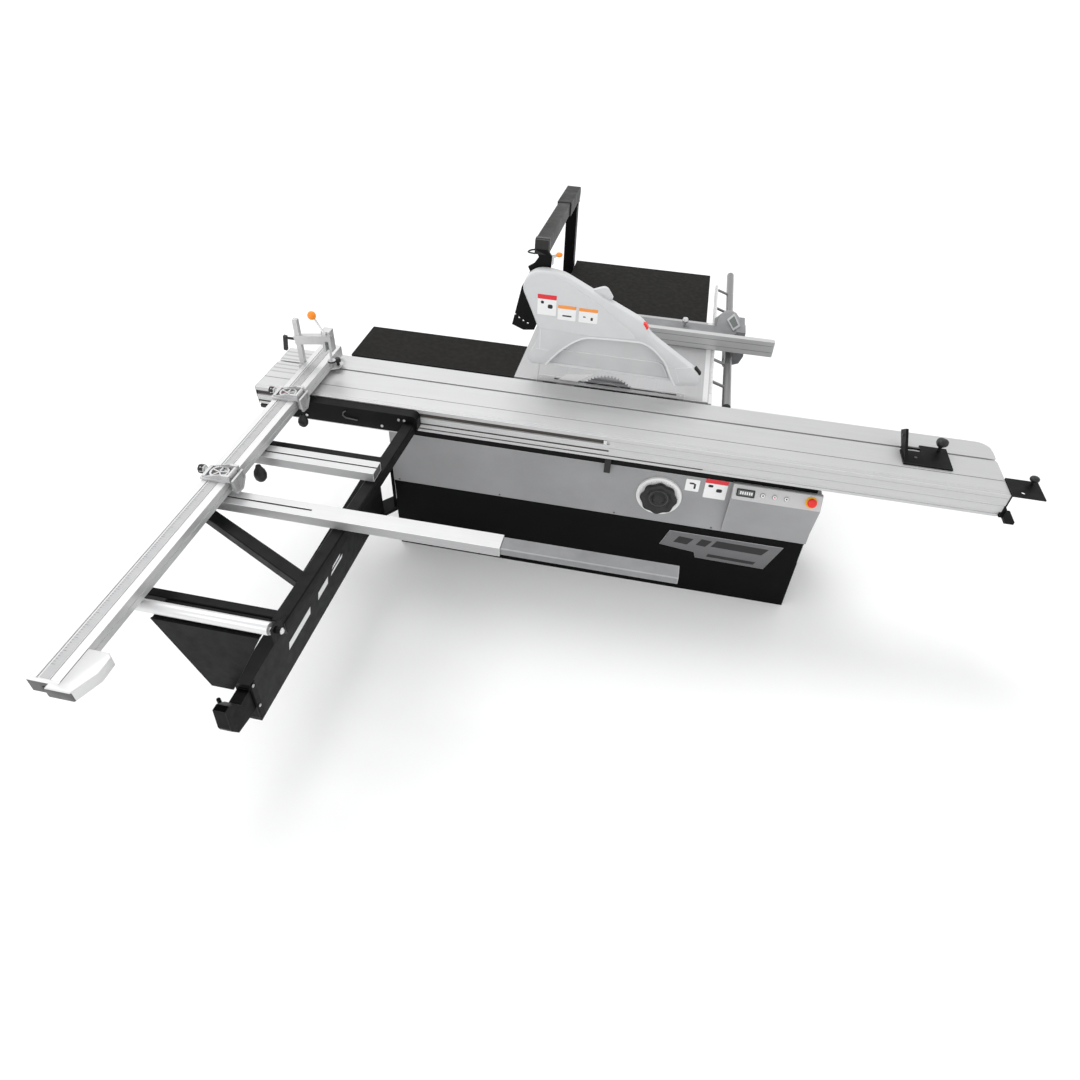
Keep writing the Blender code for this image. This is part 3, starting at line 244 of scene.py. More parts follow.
def make_paints():
    return {
        "black_gloss": coated("black_gloss", (0.0022, 0.0022, 0.0024), 0.45, 0.08, 0.10, 0.25),
        # a lighter copy of the black paint for rounded edges: partly wear, partly painted highlight
        "black_worn_lit_edge": coated("black_worn_lit_edge", (0.018, 0.018, 0.0185), 0.38, 0.22, 0.10, 0.20),
        "black_satin": coated("black_satin", (0.0040, 0.0040, 0.0042), 0.48, 0.12, 0.16, 0.25),
        "arm_grey": coated("arm_grey", (0.024, 0.0245, 0.023), 0.52, 0.22, 0.20, 0.18),
        "arm_face": coated("arm_face", (0.0095, 0.0095, 0.0098), 0.46, 0.14, 0.10, 0.15),
        "panel_grey": coated("panel_grey", (0.300, 0.302, 0.308), 0.38, 0.45, 0.10, 0.10),
        # a lighter copy of the panel grey for rounded edges: partly wear, partly painted highlight
        "panel_worn_lit_edge": coated("panel_worn_lit_edge", (0.46, 0.462, 0.468), 0.34, 0.5, 0.10, 0.10),
        "panel_pale": coated("panel_pale", (0.56, 0.56, 0.565), 0.36, 0.5, 0.10, 0.06),
        "table_black": cast("table_black", (0.0140, 0.0132, 0.0122), 0.66, 0.0, 0.07, 620.0, 0.03, 0.05),
        "alloy_x": drawn("alloy_x", (0.56, 0.56, 0.562), 0.46, 0, 0.045, 0.5, 0.04),
        "alloy_y": drawn("alloy_y", (0.66, 0.66, 0.662), 0.44, 1, 0.04, 0.5, 0.04),
        # a dark brown metal for the strips laid in the table's grooves: painted shade
        "slot_shade": drawn("slot_shade", (0.055, 0.048, 0.042), 0.60, 0, 0.10, 0.2, 0.05),
        "alloy_cover": drawn("alloy_cover", (0.42, 0.42, 0.425), 0.46, 0, 0.07, 0.5, 0.06),
        "alloy_bright": drawn("alloy_bright", (0.74, 0.74, 0.745), 0.36, 0, 0.04, 0.5, 0.05),
        "alloy_cast": cast("alloy_cast", (0.56, 0.56, 0.565), 0.42, 0.5, 0.5, 300.0, 0.20, 0.08),
        "iron_top": drawn("iron_top", (0.46, 0.46, 0.465), 0.46, 1, 0.05, 0.5, 0.06),
        "steel": drawn("steel", (0.66, 0.66, 0.67), 0.30, 2, 0.07),
        "steel_y": drawn("steel_y", (0.24, 0.24, 0.245), 0.30, 1, 0.08, 0.7),
        "blade_steel": drawn("blade_steel", (0.50, 0.50, 0.51), 0.22, 0, 0.10),
        "guard_grey": cast("guard_grey", (0.62, 0.63, 0.635), 0.46, 0.0, 0.45, 700.0, 0.06, 0.03),
        # a lighter copy of the guard grey for its lips and ribs: painted highlight
        "guard_edge": cast("guard_edge", (0.74, 0.745, 0.75), 0.42, 0.0, 0.5, 700.0, 0.06, 0.03),
        "casting_grey": cast("casting_grey", (0.21, 0.212, 0.218), 0.50, 0.0, 0.45),
        "casting_pale": cast("casting_pale", (0.42, 0.42, 0.425), 0.46, 0.3, 0.45),
        "iron_rough": cast("iron_rough", (0.16, 0.16, 0.165), 0.55, 0.5, 0.5, 240.0, 0.5),
        "black_plastic": cast("black_plastic", (0.012, 0.012, 0.0125), 0.42, 0.0, 0.40, 520.0, 0.14, 0.18),
        "dark_plastic": cast("dark_plastic", (0.085, 0.085, 0.086), 0.48, 0.0, 0.40, 520.0, 0.14, 0.12),
        "white_plastic": cast("white_plastic", (0.80, 0.80, 0.80), 0.40, 0.0, 0.45, 520.0, 0.05, 0.03),
        "red_plastic": cast("red_plastic", (0.78, 0.020, 0.012), 0.34, 0.0, 0.5, 520.0, 0.06, 0.06),
        "yellow_plastic": cast("yellow_plastic", (0.86, 0.48, 0.02), 0.38, 0.0, 0.5, 520.0, 0.06, 0.06),
        "orange_plastic": cast("orange_plastic", (0.95, 0.27, 0.005), 0.32, 0.0, 0.5, 520.0, 0.06, 0.05),
        "rubber": cast("rubber", (0.014, 0.014, 0.014), 0.74, 0.0, 0.3, 420.0, 0.35, 0.2),
        "label_white": coated("label_white", (0.84, 0.84, 0.84), 0.34, 0.5, 0.05, 0.02),
        "label_red": coated("label_red", (0.72, 0.022, 0.035), 0.34, 0.5, 0.05, 0.05),
        "label_orange": coated("label_orange", (0.90, 0.30, 0.045), 0.34, 0.5, 0.05, 0.05),
        "label_black": coated("label_black", (0.016, 0.016, 0.017), 0.40, 0.4, 0.05, 0.2),
        "badge": drawn("badge", (0.20, 0.20, 0.205), 0.40, 0, 0.10, 0.9),
        "glass": coated("glass", (0.10, 0.12, 0.11), 0.10, 0.6, 0.02, 0.12, 0.5),
        "motor_paint": cast("motor_paint", (0.16, 0.18, 0.20), 0.46, 0.0, 0.45),
    }


light_stage()
PAINT = make_paints()


# ---------------------------------------------------------------- mesh work
def place_on(axis, u, v, h):
    if axis == "x":
        return Vector((h, u, v))
    if axis == "y":
        return Vector((u, h, v))
    return Vector((u, v, h))


def prism(axis, outline, low, high):
    data = bmesh.new()
    first = [data.verts.new(place_on(axis, u, v, low)) for u, v in outline]
    last = [data.verts.new(place_on(axis, u, v, high)) for u, v in outline]
    data.faces.new(first)
    data.faces.new(last[::-1])
    count = len(outline)
    for i in range(count):
        j = (i + 1) % count
        data.faces.new((first[i], first[j], last[j], last[i]))
    bmesh.ops.recalc_face_normals(data, faces=data.faces)
    return data


def block(low, high):
    (x0, y0, z0), (x1, y1, z1) = low, high
    return prism("z", [(x0, y0), (x1, y0), (x1, y1), (x0, y1)], z0, z1)


def slab(origin, u, v, outline, thick):
    """An outline in the plane of u and v, raised by its thickness along u x v."""
    origin, rise = Vector(origin), u.cross(v) * thick
    data = bmesh.new()
    low = [data.verts.new(origin + u * a + v * b) for a, b in outline]
    high = [data.verts.new(origin + u * a + v * b + rise) for a, b in outline]
    data.faces.new(low)
    data.faces.new(high[::-1])
    for i in range(len(outline)):
        j = (i + 1) % len(outline)
        data.faces.new((low[i], low[j], high[j], high[i]))
    bmesh.ops.recalc_face_normals(data, faces=data.faces)
    return data


def turned(start, end, profile, sides=32, lobes=0, depth=0.0):
    """(radius, distance) pairs turned round a line; lobes pull the radius in and out by depth."""
    start, end = Vector(start), Vector(end)
    turn = Z.rotation_difference(end - start).to_matrix().to_4x4()
    move = Matrix.Translation(start) @ turn
    data = bmesh.new()
    rings = []
    for radius, distance in profile:
        ring = []
        for i in range(sides):
            angle = 2 * math.pi * i / sides
            reach = radius * (1 + depth * math.cos(lobes * angle))
            ring.append(data.verts.new(move @ Vector((reach * math.cos(angle), reach * math.sin(angle),
                distance))))
        rings.append(ring)
    for ring, after in zip(rings, rings[1:]):
        for i in range(sides):
            j = (i + 1) % sides
            data.faces.new((ring[i], ring[j], after[j], after[i]))
    data.faces.new(rings[0])
    data.faces.new(rings[-1][::-1])
    bmesh.ops.recalc_face_normals(data, faces=data.faces)
    return data


def rod(start, end, radius, sides=24):
    length = (Vector(end) - Vector(start)).length
    edge = min(radius * 0.25, length * 0.25, 0.001)
    return turned(start, end, [(radius - edge, 0), (radius, edge), (radius, length - edge),
        (radius - edge, length)], sides)


def tube(points, radius, sides=12, closed=False):
    """A round wire through points, its section carried along without twisting."""
    points = [Vector(p) for p in points]
    count = len(points)
    data = bmesh.new()
    rings = []
    side = None
    for i, here in enumerate(points):
        before = points[(i - 1) % count] if closed or i else here
        after = points[(i + 1) % count] if closed or i < count - 1 else here
        along = (after - before).normalized()
        if side is None:
            side = along.orthogonal().normalized()
        side = (side - along * side.dot(along)).normalized()
        other = along.cross(side)
        ring = []
        for k in range(sides):
            angle = 2 * math.pi * k / sides
            ring.append(data.verts.new(here + (side * math.cos(angle) + other * math.sin(angle)) * radius))
        rings.append(ring)
    pairs = list(zip(rings, rings[1:]))
    if closed:
        pairs.append((rings[-1], rings[0]))
    for ring, following in pairs:
        for k in range(sides):
            m = (k + 1) % sides
            data.faces.new((ring[k], ring[m], following[m], following[k]))
    if not closed:
        data.faces.new(rings[0])
        data.faces.new(rings[-1][::-1])
    bmesh.ops.recalc_face_normals(data, faces=data.faces)
    return data


def together(*parts):
    """Several meshes as one, each keeping its own skin."""
    whole = bmesh.new()
    for part in parts:
        mesh = bpy.data.meshes.new("part")
        part.to_mesh(mesh)
        part.free()
        whole.from_mesh(mesh)
        bpy.data.meshes.remove(mesh)
    return whole


def arc(cx, cy, radius, start, end, steps):
    points = []
    for i in range(steps + 1):
        angle = math.radians(start + (end - start) * i / steps)
        points.append((cx + radius * math.cos(angle), cy + radius * math.sin(angle)))
    return points


def rounded(width, height, radius, steps=4):
    """A rectangle about the origin with round corners."""
    a, b = width / 2 - radius, height / 2 - radius
    return (
        arc(a, -b, radius, -90, 0, steps)
        + arc(a, b, radius, 0, 90, steps)
        + arc(-a, b, radius, 90, 180, steps)
        + arc(-a, -b, radius, 180, 270, steps)
    )


def flowing(points, steps=5):
    """A smooth curve through open points, both ends kept."""
    points = [Vector(p) for p in points]
    ends = [2 * points[0] - points[1]] + points + [2 * points[-1] - points[-2]]
    curve = []
    for a, b, c, d in zip(ends, ends[1:], ends[2:], ends[3:]):
        for i in range(steps):
            t = i / steps
            curve.append(0.5 * (2 * b + (c - a) * t + (2 * a - 5 * b + 4 * c - d) * t * t + (3 * b - a - 3 * c + d) * t ** 3))
    curve.append(points[-1])
    return [tuple(p) for p in curve]


def sideways(points, distance):
    """The open line of points moved to its right-hand side."""
    moved = []
    for i, point in enumerate(points):
        before = Vector(points[max(i - 1, 0)])
        after = Vector(points[min(i + 1, len(points) - 1)])
        along = (after - before).normalized()
        moved.append((point[0] + along.y * distance, point[1] - along.x * distance))
    return moved


def soften(obj, width, segments=2, angle=30.0, worn_lit_edge_paint=None):
    """Round the hard edges; an edge paint gives the rounded strips a lighter tone, partly wear and partly
    painted highlight.
    """
    edge = obj.modifiers.new("edges", "BEVEL")
    edge.width = width
    edge.segments = segments
    edge.limit_method = "ANGLE"
    edge.angle_limit = math.radians(angle)
    edge.harden_normals = True
    edge.miter_outer = "MITER_ARC"
    if worn_lit_edge_paint:
        obj.data.materials.append(PAINT[worn_lit_edge_paint])
        edge.material = len(obj.data.materials) - 1


def show(name, data, paint, body, replaces=(), bevel=0.0, segments=2, smooth=32.0, worn_lit_edge_paint=None):
    """Name a mesh, paint it, round its edges and let it ride on its body."""
    mesh = bpy.data.meshes.new(name)
    data.to_mesh(mesh)
    data.free()
    for one in (paint,) if isinstance(paint, str) else paint:
        mesh.materials.append(PAINT[one])
    mesh.shade_smooth()
    mesh.set_sharp_from_angle(angle=math.radians(smooth))
    obj = bpy.data.objects.new(name, mesh)
    bpy.context.scene.collection.objects.link(obj)
    if bevel:
        soften(obj, bevel, segments, worn_lit_edge_paint=worn_lit_edge_paint)
    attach(obj, body)
    if replaces:
        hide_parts(*replaces)
    return obj


# Nodes with flat faces that have holes in them: their facets stay apart, because one face can't hold a hole.
HOLED = {"upper_cabinet", "base_cabinet", "cast_table", "outfeed_table", "side_table", "stop_1_carriage",
    "stop_2_carriage"}


def node_mesh(node):
    """A node's own shape with its facets merged into whole faces."""
    data = bmesh.new()
    data.from_mesh(frame["nodes"][node].data)
    bmesh.ops.remove_doubles(data, verts=data.verts, dist=2e-5)
    if node not in HOLED:
        bmesh.ops.dissolve_limit(data, angle_limit=math.radians(0.6), verts=data.verts, edges=data.edges)
    return data


def refined(node, paint, bevel=0.0012, segments=2, smooth=32.0, worn_lit_edge_paint=None, part=None):
    """The node's shape again, with rounded edges.  part sorts faces by their centre into paints."""
    data = node_mesh(node)
    if part:
        for face in data.faces:
            face.material_index = part(face.calc_center_median(), face.normal)
    return show(node + "_skin", data, paint, BODY_OF[node], [node], bevel, segments, smooth, worn_lit_edge_paint)


def cut(obj, cutter_data):
    """Take a cutter out of a finished piece, before its edges are rounded."""
    mesh = bpy.data.meshes.new("cutter")
    cutter_data.to_mesh(mesh)
    cutter_data.free()
    cutter = bpy.data.objects.new("cutter", mesh)
    bpy.context.scene.collection.objects.link(cutter)
    step = obj.modifiers.new("step", "BOOLEAN")
    step.object = cutter
    step.operation = "DIFFERENCE"
    order = [m.name for m in obj.modifiers]
    if "edges" in order:
        obj.modifiers.move(len(order) - 1, 0)
    apply_step(obj, "step")
    bpy.data.objects.remove(cutter, do_unlink=True)


def apply_step(obj, name):
    with bpy.context.temp_override(object=obj, active_object=obj, selected_objects=[obj]):
        bpy.ops.object.modifier_apply(modifier=name)


def bolt_head(centre, normal, radius=0.006, height=0.004):
    """A socket cap seen from outside: a round head with a sunk round well."""
    centre, normal = Vector(centre), Vector(normal).normalized()
    profile = [
        (radius * 0.98, 0.0), (radius, height * 0.15), (radius, height * 0.75), (radius * 0.86, height),
        (radius * 0.52, height), (radius * 0.46, height * 0.45), (radius * 0.05, height * 0.40),
    ]
    return turned(centre, centre + normal, profile, 20)


def hex_head(centre, normal, radius=0.008, height=0.005):
    centre, normal = Vector(centre), Vector(normal).normalized()
    profile = [(radius * 1.25, 0.0), (radius * 1.25, height * 0.2), (radius * 1.28, height * 0.22)]
    washer = turned(centre, centre + normal, profile, 24)
    head = turned(centre, centre + normal, [(radius, height * 0.2), (radius, height * 0.9),
        (radius * 0.85, height)], 6)
    return together(washer, head)


def knob_profile(radius, height, stem=0.35):
    """A mushroom knob from its stem up: a waist, a swelling rim and a soft crown."""
    return [
        (radius * stem, 0.0), (radius * stem, height * 0.34), (radius * 0.52, height * 0.42),
        (radius * 0.90, height * 0.50), (radius, height * 0.60), (radius, height * 0.74),
        (radius * 0.92, height * 0.86), (radius * 0.72, height * 0.95), (radius * 0.40, height),
        (radius * 0.05, height),
    ]


# ---------------------------------------------------------------- stage
def make_floor():
    recipe = Recipe("pale_floor", 0.0, 0.12)
    cloud = recipe.noise(0.6, 4.0)
    tone = recipe.mixed(cloud, (0.975, 0.975, 0.975), (0.985, 0.985, 0.985))
    recipe.finish(tone, recipe.spread(cloud, 0.3, 0.7, 0.75, 0.85), [(recipe.noise(160.0), 0.02, 0.0006)])
    data = bmesh.new()
    reach, below = 60.0, -0.0004
    corners = [data.verts.new((x, y, below)) for x, y in ((-reach, -reach), (reach, -reach), (reach, reach),
        (-reach, reach))]
    data.faces.new(corners)
    mesh = bpy.data.meshes.new("floor")
    data.to_mesh(mesh)
    data.free()
    mesh.materials.append(recipe.material)
    floor = bpy.data.objects.new("floor", mesh)
    bpy.context.scene.collection.objects.link(floor)


# ---------------------------------------------------------------- cabinet
def dress_cabinet():
    refined("base_cabinet", "black_gloss", 0.0025, 2, worn_lit_edge_paint="black_worn_lit_edge")
    refined("upper_cabinet", "panel_grey", 0.0030, 3, worn_lit_edge_paint="panel_worn_lit_edge")
    refined("slide_beam", "black_satin", 0.0010, 1)
    refined("side_table_strut", "black_satin", 0.0016)
    refined("dust_outlet", "black_satin", 0.0010)
    refined("power_inlet", "black_plastic", 0.0020)
    low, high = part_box("upper_cabinet")
    base_low, base_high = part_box("base_cabinet")
    front = low.y

    # Thin steel strips down the front corners of the base: painted highlights on those edges.
    corner_glints = []
    for x in (base_low.x + 0.0015, base_high.x - 0.0035):
        corner_glints.append(block((x, front - 0.0008, base_high.z - 0.115),
            (x + 0.002, front - 0.0002, base_high.z - 0.002)))
    show("corner_highlight", together(*corner_glints), "steel", "frame")
    screws = []
    for x in (low.x + 0.03, -0.45, 0.10, 0.55):
        screws.append(bolt_head((x, front - 0.0002, base_high.z + 0.012), -Y, 0.0045, 0.002))
    for x in (-0.40, -0.05, 0.38):
        for z in (0.06, 0.36, 0.44, 0.64):
            screws.append(bolt_head((x, base_high.y + 0.0002, z), Y, 0.006, 0.003))
    show("cabinet_screws", together(*screws), "dark_plastic", "frame")

    # Louvres on the right end, and a service door on the back.
    end = high.x
    slats = []
    for i in range(7):
        z = 0.10 + 0.026 * i
        slats.append(prism("y", [(end + 0.0002, z), (end + 0.0075, z + 0.004), (end + 0.0075, z + 0.006),
            (end + 0.0002, z + 0.016)], -0.26, 0.04))
    show("side_louvres", together(*slats), "black_satin", "frame", bevel=0.0008)
    rear = base_high.y
    door = slab((0.0, rear + 0.0003, 0.295), -X, Z, rounded(0.74, 0.20, 0.012), 0.0025)
    show("rear_cover", door, "black_satin", "frame", bevel=0.0010)

    badge_points = [(0.369, 0.367), (0.891, 0.367), (0.831, 0.218), (0.511, 0.223), (0.500, 0.255),
        (0.333, 0.273)]
    data = prism("y", badge_points, front - 0.0024, front - SKIN)
    show("badge_plate", data, "badge", "frame", bevel=0.0010, worn_lit_edge_paint="steel")
    bars = []
    for i, (x0, length) in enumerate(((0.395, 0.065), (0.500, 0.045), (0.570, 0.235))):
        z = 0.300 + 0.003 * i
        bars.append(prism("y", [(x0, z), (x0 + length, z - 0.004), (x0 + length + 0.026, z + 0.036),
            (x0 + 0.022, z + 0.040)], front - 0.0029, front - 0.0022))
    bars.append(prism("y", [(0.560, 0.240), (0.780, 0.236), (0.790, 0.254), (0.566, 0.258)], front - 0.0029,
        front - 0.0022))
    show("badge_bars", together(*bars), "label_black", "frame", bevel=0.0004)


def card(name, origin, u, v, width, height, band, body, marks=()):
    """A blank label: a white card, a coloured band along its top and plain dark shapes."""
    origin = Vector(origin)
    rise = u.cross(v)
    show(name, slab(origin + rise * SKIN, u, v, rounded(width, height, 0.004), 0.0005), "label_white", body)
    if band:
        tall = height * 0.22
        top = origin + v * (height / 2 - tall / 2) + rise * 0.0009
        show(name + "_band", slab(top, u, v, rounded(width, tall, 0.003), 0.0003), band, body)
    dark = []
    for a, b, w, h in marks:
        spot = origin + u * (a * width) + v * (b * height) + rise * 0.0009
        dark.append(slab(spot, u, v, rounded(w * width, h * height, min(w * width, h * height) * 0.35), 0.0003))
    if dark:
        show(name + "_marks", together(*dark), "label_black", body)


def dress_controls():
    refined("control_box", ["panel_grey", "panel_pale"], 0.0020, 2, worn_lit_edge_paint="panel_worn_lit_edge")
    low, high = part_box("control_box")
    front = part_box("upper_cabinet")[0].y
    out = Vector((0.0, -0.874, 0.486)).normalized()
    up = X.cross(out) * -1
    face = Vector(((low.x + high.x) / 2, -0.4075, 0.6685))
    buttons = [centre_of(name) for name in ("button_start", "button_stop", "button_scoring", "e_stop")]
    plate = slab(face + out * 0.0002, X, up, rounded(high.x - low.x - 0.006, 0.066, 0.004), 0.0010)
    plate = show("control_plate", plate, "panel_pale", "frame", bevel=0.0004, segments=1)
    for spot in buttons:
        wide = 0.0135 if spot is buttons[-1] else 0.0108
        cut(plate, turned(spot - out * 0.03, spot + out * 0.03, [(wide, 0), (wide, 0.06)], 32))

    def on_face(x, rise=0.0014, lift=0.0):
        return Vector((x, face.y, face.z)) + out * rise + up * lift

    show("display_frame", slab(on_face(0.653, 0.0013), X, up, rounded(0.078, 0.034, 0.004), 0.0030),
        "label_black", "frame", bevel=0.0012)
    show("display_glass", slab(on_face(0.653, 0.0044), X, up, rounded(0.066, 0.023, 0.002), 0.0004), "glass",
        "frame", bevel=0.0002, segments=1)
    digits = []
    for group in range(3):
        for k in range(2):
            x = 0.632 + group * 0.019 + k * 0.009
            digits.append(slab(on_face(x, 0.0049), X, up, rounded(0.006, 0.013, 0.001), 0.0002))
    show("display_digits", together(*digits), "label_white", "frame")
    rings = []
    for spot in buttons[:3]:
        rings.append(tube([spot_on(spot, face,
            out) + (X * math.cos(a) + up * math.sin(a)) * 0.0122 for a in angles(36)], 0.0012, 10, True))
    show("button_rings", together(*rings), "steel", "frame")
    for name, paint, dot in (("button_start", "white_plastic", "label_black"),
            ("button_stop", "white_plastic", "label_red"), ("button_scoring", "white_plastic", "label_black")):
        spot = spot_on(centre_of(name), face, out)
        profile = [(0.0090, -0.006), (0.0090, 0.0060), (0.0084, 0.0080), (0.0066, 0.0090), (0.0030, 0.0094),
            (0.0004, 0.0095)]
        cap = turned(spot, spot + out, profile, 32)
        show(name + "_cap", cap, paint, BODY_OF[name], [name])
        show(name + "_dot", turned(spot + out * 0.0089, spot + out,
            [(0.0034, 0), (0.0034, 0.0008), (0.0004, 0.0010)], 20), dot, BODY_OF[name])
    spot = spot_on(centre_of("e_stop"), face, out)
    ring = turned(spot, spot + out, [(0.0250, 0.0004), (0.0250, 0.0026), (0.0240, 0.0034), (0.0150, 0.0038)],
        40)
    ring = show("e_stop_ring", ring, "yellow_plastic", "frame")
    cut(ring, turned(spot - out * 0.01, spot + out, [(0.0140, 0), (0.0140, 0.03)], 32))
    collar = [(0.0116, 0.0036), (0.0116, 0.0110), (0.0150, 0.0130), (0.0188, 0.0150), (0.0200, 0.0190),
        (0.0196, 0.0235), (0.0180, 0.0265), (0.0150, 0.0284), (0.0100, 0.0298), (0.0006, 0.0304)]
    show("e_stop_cap", turned(spot, spot + out, collar, 40), "red_plastic", BODY_OF["e_stop"],
        ["e_stop"])

    card("caution_label", (0.529, front, 0.640), X, Z, 0.098, 0.104, "label_red", "frame",
        [(-0.24, 0.14, 0.22, 0.13), (0.16, -0.05, 0.26, 0.18)])
    card("turn_label", (0.4265, front, 0.6435), X, Z, 0.061, 0.064, None, "frame",
        [(-0.05, 0.16, 0.36, 0.14), (0.18, -0.06, 0.14, 0.44)])

    refined("table_latch", "black_plastic", 0.0018, 3)


def spot_on(point, face, out):
    """The point moved along out into the plane of the face."""
    return point - out * (point - face).dot(out)


def angles(count):
    return [2 * math.pi * i / count for i in range(count)]


def centre_of(node):
    low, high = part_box(node)
    return (low + high) / 2


def dress_handwheel():
    low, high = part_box("wheel_dial")
    spot = Vector(((low.x + high.x) / 2, high.y, (low.z + high.z) / 2))
    reach = (high.x - low.x) / 2
    profile = [(reach, 0.0), (reach, 0.0080), (reach * 0.985, 0.0115), (reach * 0.93, 0.0135),
        (reach * 0.78, 0.0120), (reach * 0.30, 0.0120), (0.021, 0.0120)]
    dial = show("dial_ring", turned(spot, spot - Y, profile, 72), "white_plastic", "frame",
        ["wheel_dial"])
    cut(dial, turned(spot + Y * 0.02, spot - Y, [(0.0205, 0), (0.0205, 0.05)], 32))
    ticks = []
    for i, angle in enumerate(angles(48)):
        spoke = X * math.cos(angle) + Z * math.sin(angle)
        across = spoke.cross(Y)
        long = 0.010 if i % 4 == 0 else 0.006
        ticks.append(slab(spot + spoke * (reach * 0.90 - long / 2) - Y * 0.0128, across, spoke,
            rounded(0.0012, long, 0.0005, 2), 0.0003))
    show("dial_ticks", together(*ticks), "label_black", "frame")
    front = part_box("handwheel")[0].y
    rim = 0.0800
    deep = spot.y - 0.016 - front
    shape = [
        (rim * 0.92, 0.0), (rim * 0.99, 0.003), (rim, 0.008), (rim, deep - 0.006), (rim * 0.98, deep - 0.002),
            (rim * 0.93, deep),
        (rim * 0.80, deep - 0.001), (rim * 0.71, deep - 0.004), (rim * 0.63, deep - 0.010),
        (rim * 0.40, deep - 0.011),
        (rim * 0.34, deep - 0.006), (rim * 0.28, deep - 0.001), (rim * 0.01, deep),
    ]
    start = Vector((spot.x, spot.y - 0.016, spot.z))
    wheel = turned(start, start - Y, shape, 160, 8, 0.048)
    axle = rod(start + Y * 0.055, start + Y * 0.0005, 0.0118)
    show("handwheel_grip", together(wheel, axle), "black_plastic", BODY_OF["handwheel"],
        ["handwheel"], smooth=40)
    ring = tube([Vector((spot.x, front + 0.0106,
        spot.z)) + (X * math.cos(a) + Z * math.sin(a)) * rim * 0.52 for a in angles(48)], 0.0012, 8, True)
    show("handwheel_trim", ring, "dark_plastic", BODY_OF["handwheel"])


# ---------------------------------------------------------------- saw table, blade and extensions
def dress_saw_table():
    refined("cast_table", "iron_top", 0.0012, 2, worn_lit_edge_paint="alloy_bright")
    refined("table_insert", "alloy_cover", 0.0006, 1)
    refined("outfeed_table", "table_black", 0.0020, 2, worn_lit_edge_paint="black_worn_lit_edge")
    refined("side_table", "table_black", 0.0020, 2, worn_lit_edge_paint="black_worn_lit_edge")
    low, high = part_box("cast_table")
    strip = block((high.x - 0.026, low.y + 0.002, high.z + 0.0002),
        (high.x - 0.003, high.y - 0.002, high.z + 0.0010))
    show("table_edge_strip", strip, "alloy_bright", "frame", bevel=0.0003, segments=1)
    screws = []
    plate_low, plate_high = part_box("table_insert")
    for x in (plate_low.x + 0.015, plate_high.x - 0.015):
        screws.append(bolt_head((x, (plate_low.y + plate_high.y) / 2, plate_high.z + 0.0001), Z, 0.0045,
            0.0010))
    for node, count in (("side_table", 3), ("outfeed_table", 2)):
        lo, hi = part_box(node)
        for i in range(count):
            screws.append(bolt_head((lo.x + (hi.x - lo.x) * (i + 0.5) / count, hi.y + 0.0001, hi.z - 0.020), Y,
                0.005, 0.003))
    show("table_screws", together(*screws), "steel", "frame")
    refined("rip_rail", ["steel_y", "alloy_bright"], 0.0006, 1, part=lambda c,
        n: 1 if c.x < high.x + 0.020 else 0)
    lo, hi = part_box("rip_rail")
    ticks = []
    y = lo.y + 0.09
    count = 0
    while y < 1.22:
        wide = 0.010 if count % 5 == 0 else 0.006
        ticks.append(block((0.4415, y, hi.z + 0.0001), (0.4415 + wide, y + 0.0010, hi.z + 0.0004)))
        y += 0.010
        count += 1
    show("rail_scale", together(*ticks), "label_black", "frame")


